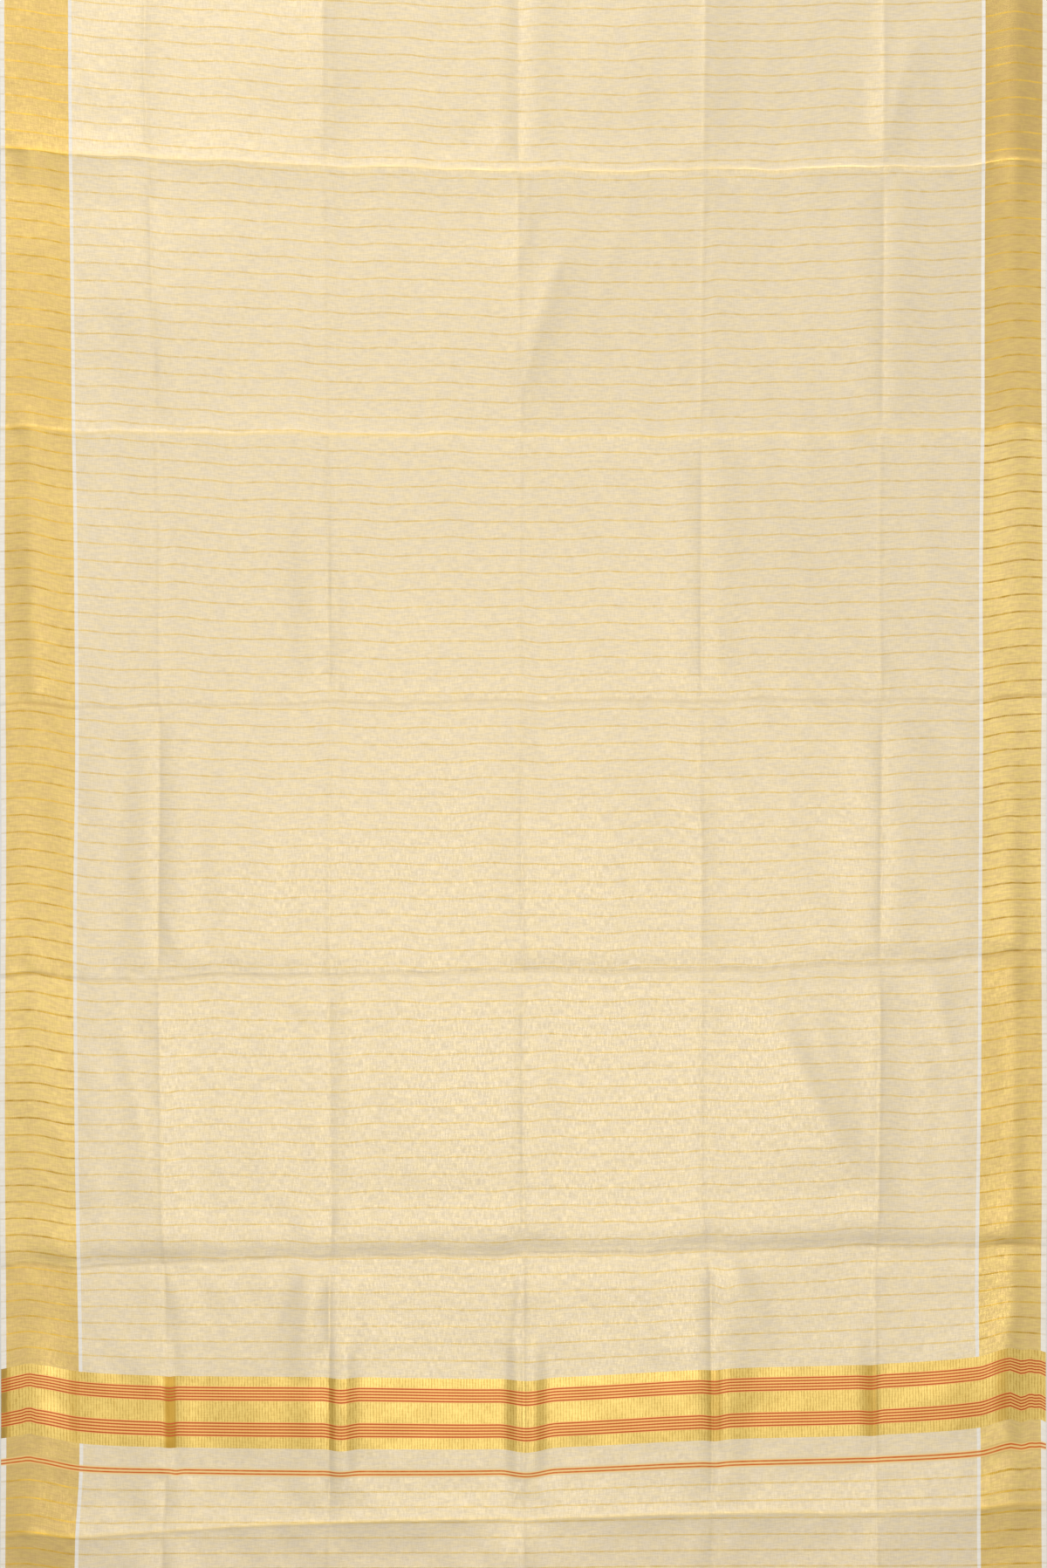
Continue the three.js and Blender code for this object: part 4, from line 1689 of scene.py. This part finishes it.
@dataclass
class Hem:
    """A narrow hem at an end of the cloth, turned twice and stitched.

    Args:
        name: The hem's node.
        end: Where its outer edge lies along the cloth.
        inwards: 1 if it runs on from there, or -1 if it runs back.
        grid: How finely it is divided.
        stitch_pitch: How far its stitches are apart.
        stitch_length: How long a stitch is.
        stitch_radius: How thick its thread is, as a radius.
        stitch_sides: How many sides the thread has.
        stitch_margin: How far the first stitch lies from the left edge.
    """

    name: str
    end: float
    inwards: int
    grid: Grid
    stitch_pitch: float = 3.6
    stitch_length: float = 2.5
    stitch_radius: float = 0.28
    stitch_sides: int = 6
    stitch_margin: float = 2.0

    def build(self, wardrobe: Wardrobe) -> list[bpy.types.Object]:
        """Builds the hem and its line of stitches.

        Args:
            wardrobe: The materials.

        Returns:
            The hem and its stitches.
        """
        profile = HEM_PROFILE[:: self.inwards]
        rows = [Line(self.end + self.inwards * share * HEM_WIDTH) for share, _ in profile]
        walls = [wall for _, wall in profile]
        shell = Shell(f"cloth_{self.name}", self.grid.columns(), rows, Finish.TISSUE, walls)
        piece = shell.build(wardrobe.made[Finish.TISSUE])
        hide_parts(self.name)
        stitches = self.stitches(wardrobe.made[Finish.WHITE])
        return [piece, stitches]

    def stitches(self, material: bpy.types.Material) -> bpy.types.Object:
        """Builds the stitches that hold the hem down.

        Args:
            material: The thread's material.

        Returns:
            The line of stitches.
        """
        along = self.end + self.inwards * HEM_WIDTH * STITCH_SHARE
        starts = np.arange(self.stitch_margin, CLOTH_WIDTH - 2 * self.stitch_margin, self.stitch_pitch)
        sides, radius = self.stitch_sides, self.stitch_radius
        shares = np.array([0.0, 0.12, 0.5, 0.88, 1.0])
        swells = np.array([0.35, 0.9, 1.0, 0.9, 0.35]) * radius
        turns = np.arange(sides) * 2 * math.pi / sides
        points, faces = [], []
        for start in starts:
            across = start + shares * self.stitch_length
            x, y = CLOTH.place(across, np.full(across.shape, along))
            ring_y = y[:, None] + (swells[:, None] * np.cos(turns)) * MM
            ring_z = (STITCH_LEVEL + radius * 0.4 + swells[:, None] * np.sin(turns)) * MM
            ring_x = np.repeat(x[:, None], sides, 1)
            base = len(points)
            points += np.stack([ring_x, ring_y, ring_z], -1).reshape(-1, 3).tolist()
            for k in range(len(shares) - 1):
                for s in range(sides):
                    a, b = base + k * sides + s, base + k * sides + (s + 1) % sides
                    faces.append((a, b, b + sides, a + sides))
            last = base + (len(shares) - 1) * sides
            faces.append(tuple(range(base + sides - 1, base - 1, -1)))
            faces.append(tuple(range(last, last + sides)))
        mesh = bpy.data.meshes.new(f"stitches_{self.name}")
        mesh.from_pydata(points, [], faces)
        mesh.polygons.foreach_set("use_smooth", np.ones(len(faces), bool))
        layer = mesh.uv_layers.new(name=CLOTH_MAP, do_init=False)
        corner = np.empty(len(mesh.loops), np.int32)
        mesh.loops.foreach_get("vertex_index", corner)
        flat = np.array(points)[corner][:, :2] + [CLOTH_WIDTH / 2 * MM, CLOTH_LENGTH / 2 * MM]
        layer.uv.foreach_set("vector", flat.astype(np.float32).ravel())
        mesh.materials.append(material)
        piece = bpy.data.objects.new(mesh.name, mesh)
        bpy.context.scene.collection.objects.link(piece)
        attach(piece, BODY)
        return piece


@dataclass
class Stretch:
    """One stretch of the cloth along its length: a piece for each strip of the weave.

    Args:
        name: The stretch's name, with which its nodes' names start.
        first: The line where it starts.
        last: The line where it ends.
        grid: How finely it is divided.
        hem: The hem at its outer end, which goes with its ground.
    """

    name: str
    first: Line
    last: Line
    grid: Grid
    hem: Hem | None = None

    def build(self, wardrobe: Wardrobe) -> list[bpy.types.Object]:
        """Args:
            wardrobe: The materials.

        Returns:
            The pieces, from the left edge to the right, and the hem's.
        """
        rows = self.grid.rows(self.first, self.last)
        columns = self.grid.columns()
        pieces = {}
        for strip in STRIPS:
            inside = [c for c in columns if strip.start - 1e-6 <= c <= strip.end + 1e-6]
            shell = Shell(f"cloth_{self.name}_{strip.name}", inside, rows, strip.finish)
            piece = shell.build(wardrobe.made[strip.finish])
            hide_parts(f"{self.name}_{strip.name}")
            pieces[strip.name] = piece
        hemmed = self.hem.build(wardrobe) if self.hem else []
        return [*pieces.values(), *hemmed]


@dataclass
class WovenBand:
    """A band woven across the whole width.

    Args:
        name: The band's node.
        first: Where it starts along the cloth.
        last: Where it ends.
        finish: Its finish.
        grid: How finely it is divided.
    """

    name: str
    first: float
    last: float
    finish: Finish
    grid: Grid

    def build(self, wardrobe: Wardrobe) -> list[bpy.types.Object]:
        """Args:
            wardrobe: The materials.

        Returns:
            The one piece.
        """
        rows = self.grid.rows(Line(self.first), Line(self.last))
        shell = Shell(f"cloth_{self.name}", self.grid.columns(), rows, self.finish)
        piece = shell.build(wardrobe.made[self.finish])
        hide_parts(self.name)
        return [piece]


@dataclass
class Saree:
    """The whole cloth, from the hem at its pallu end to the hem at its plain end."""

    def build(self, wardrobe: Wardrobe) -> list[bpy.types.Object]:
        """Builds every piece of the cloth.

        Args:
            wardrobe: The materials.

        Returns:
            The pieces.
        """
        seen, far = GRIDS["seen"], GRIDS["far"]
        cuts = [CROSS_FOLDS[number].line for number in (5, 9, 13)]
        lines = [Line(GOLD_BAND[1]), *cuts, Line(CLOTH_LENGTH - HEM_WIDTH)]
        hem_pallu = Hem("hem_pallu", 0.0, 1, seen)
        hem_plain = Hem("hem_plain", CLOTH_LENGTH, -1, far)
        parts = [
            Stretch("pallu_end", Line(HEM_WIDTH), Line(ORANGE_LINE[0]), seen, hem_pallu),
            WovenBand("pallu_orange_line", *ORANGE_LINE, Finish.ORANGE, seen),
            Stretch("pallu_gap", Line(ORANGE_LINE[1]), Line(GOLD_BAND[0]), seen),
            WovenBand("pallu_gold_band", *GOLD_BAND, Finish.ZARI, seen),
        ]
        for i in range(len(lines) - 1):
            hem = hem_plain if i == len(lines) - 2 else None
            parts.append(Stretch(f"body_{i + 1}", lines[i], lines[i + 1], seen if i == 0 else far, hem))
        pieces = []
        for part in parts:
            made = part.build(wardrobe)
            for piece in made:
                log.info("%s: %d faces", piece.name, len(piece.data.polygons))
            pieces += made
        return pieces


@dataclass(frozen=True)
class Lamp:
    """A soft square light.

    Args:
        name: The light's name.
        place: Where it stands, in metres, with y from the middle of what is seen.
        target: The point that it faces, measured in the same way.
        size: Its side, in metres.
        power: Its power, in watts.
    """

    name: str
    place: tuple[float, float, float]
    target: tuple[float, float, float]
    size: float
    power: float

    def build(self, middle: float) -> None:
        """Places the light.

        Args:
            middle: The y of the middle of what is seen.
        """
        shift = Vector((0, middle, 0))
        place, target = Vector(self.place) + shift, Vector(self.target) + shift
        data = bpy.data.lights.new(self.name, "AREA")
        data.shape, data.size, data.energy = "SQUARE", self.size, self.power
        lamp = bpy.data.objects.new(self.name, data)
        lamp.location = place
        lamp.rotation_euler = (target - place).to_track_quat("-Z", "Y").to_euler()
        lamp.visible_camera = False
        bpy.context.scene.collection.objects.link(lamp)


LAMPS = (
    Lamp("window", (1.2, 9.4, 6.4), (0, -0.4, 0), 3.6, 700),
    Lamp("overhead", (-0.05, -1.0, 8.0), (0, -0.4, 0), 1.4, 84),
    Lamp("upper", (-1.8, 3.6, 8.0), (0, 1.2, 0), 1.8, 110),
)


@dataclass
class Studio:
    """The floor, the lights and the camera.

    Args:
        lens: The camera's lens, in millimetres.
        sensor: The camera's sensor on its long side, in millimetres.
        floor_size: The floor's side, in metres.
        floor_drop: How far the floor lies under the cloth, in metres.
        glow: The colour of the light from all around.
        glow_strength: How strong that light is.
    """

    lens: float = 85.0
    sensor: float = 36.0
    floor_size: float = 40.0
    floor_drop: float = 0.0004
    glow: Colour = (1.0, 0.98, 0.95, 1.0)
    glow_strength: float = 0.32

    def build(self) -> None:
        """Builds the studio and sets its colours."""
        seen = PHOTO_SIZE[1] / PHOTO_SIZE[0] * CLOTH_WIDTH * MM
        middle = (PHOTO_FIRST_ALONG - CLOTH_LENGTH / 2) * MM + seen / 2
        self.floor()
        self.camera(middle, seen)
        for lamp in LAMPS:
            lamp.build(middle)
        world = bpy.data.worlds.new("studio")
        world.use_nodes = True
        background = world.node_tree.nodes["Background"]
        background.inputs["Color"].default_value = self.glow
        background.inputs["Strength"].default_value = self.glow_strength
        bpy.context.scene.world = world
        bpy.context.scene.view_settings.view_transform = "Standard"

    def floor(self) -> None:
        """Builds the pale floor."""
        half = self.floor_size / 2
        mesh = bpy.data.meshes.new("floor")
        corners = [(x * half, y * half, -self.floor_drop) for x, y in ((-1, -1), (1, -1), (1, 1), (-1, 1))]
        mesh.from_pydata(corners, [], [(0, 1, 2, 3)])
        floor = bpy.data.objects.new("floor", mesh)
        bpy.context.scene.collection.objects.link(floor)
        pale = bpy.data.materials.new("pale_floor")
        pale.use_nodes = True
        tree = Tree(pale.node_tree)
        shader = pale.node_tree.nodes["Principled BSDF"]
        place = tree.node("ShaderNodeTexCoord")
        noise = tree.node("ShaderNodeTexNoise", Vector=place.outputs["Object"], Scale=2.0, Detail=4.0)
        shade = tree.mix(noise.outputs[0], (0.80, 0.79, 0.77, 1.0), (0.86, 0.85, 0.83, 1.0))
        tree.feed(shader, "Base Color", shade)
        tree.feed(shader, "Roughness", 0.9)
        mesh.materials.append(pale)

    def camera(self, middle: float, seen: float) -> None:
        """Places the camera straight above what the photograph shows.

        Args:
            middle: The y of the middle of what is seen.
            seen: How much of the cloth's length is seen.
        """
        data = bpy.data.cameras.new("camera")
        data.lens, data.sensor_width = self.lens, self.sensor
        camera = bpy.data.objects.new("camera", data)
        camera.location = (0.0, middle, seen * self.lens / self.sensor)
        bpy.context.scene.collection.objects.link(camera)
        bpy.context.scene.camera = camera


def main() -> None:
    """Builds the studio and the cloth, and reports each piece."""
    logging.basicConfig(level=logging.INFO, format="%(message)s")
    Studio().build()
    wardrobe = Wardrobe().fill()
    pieces = Saree().build(wardrobe)
    log.info("%d pieces", len(pieces))


if __name__ == "__main__":
    main()
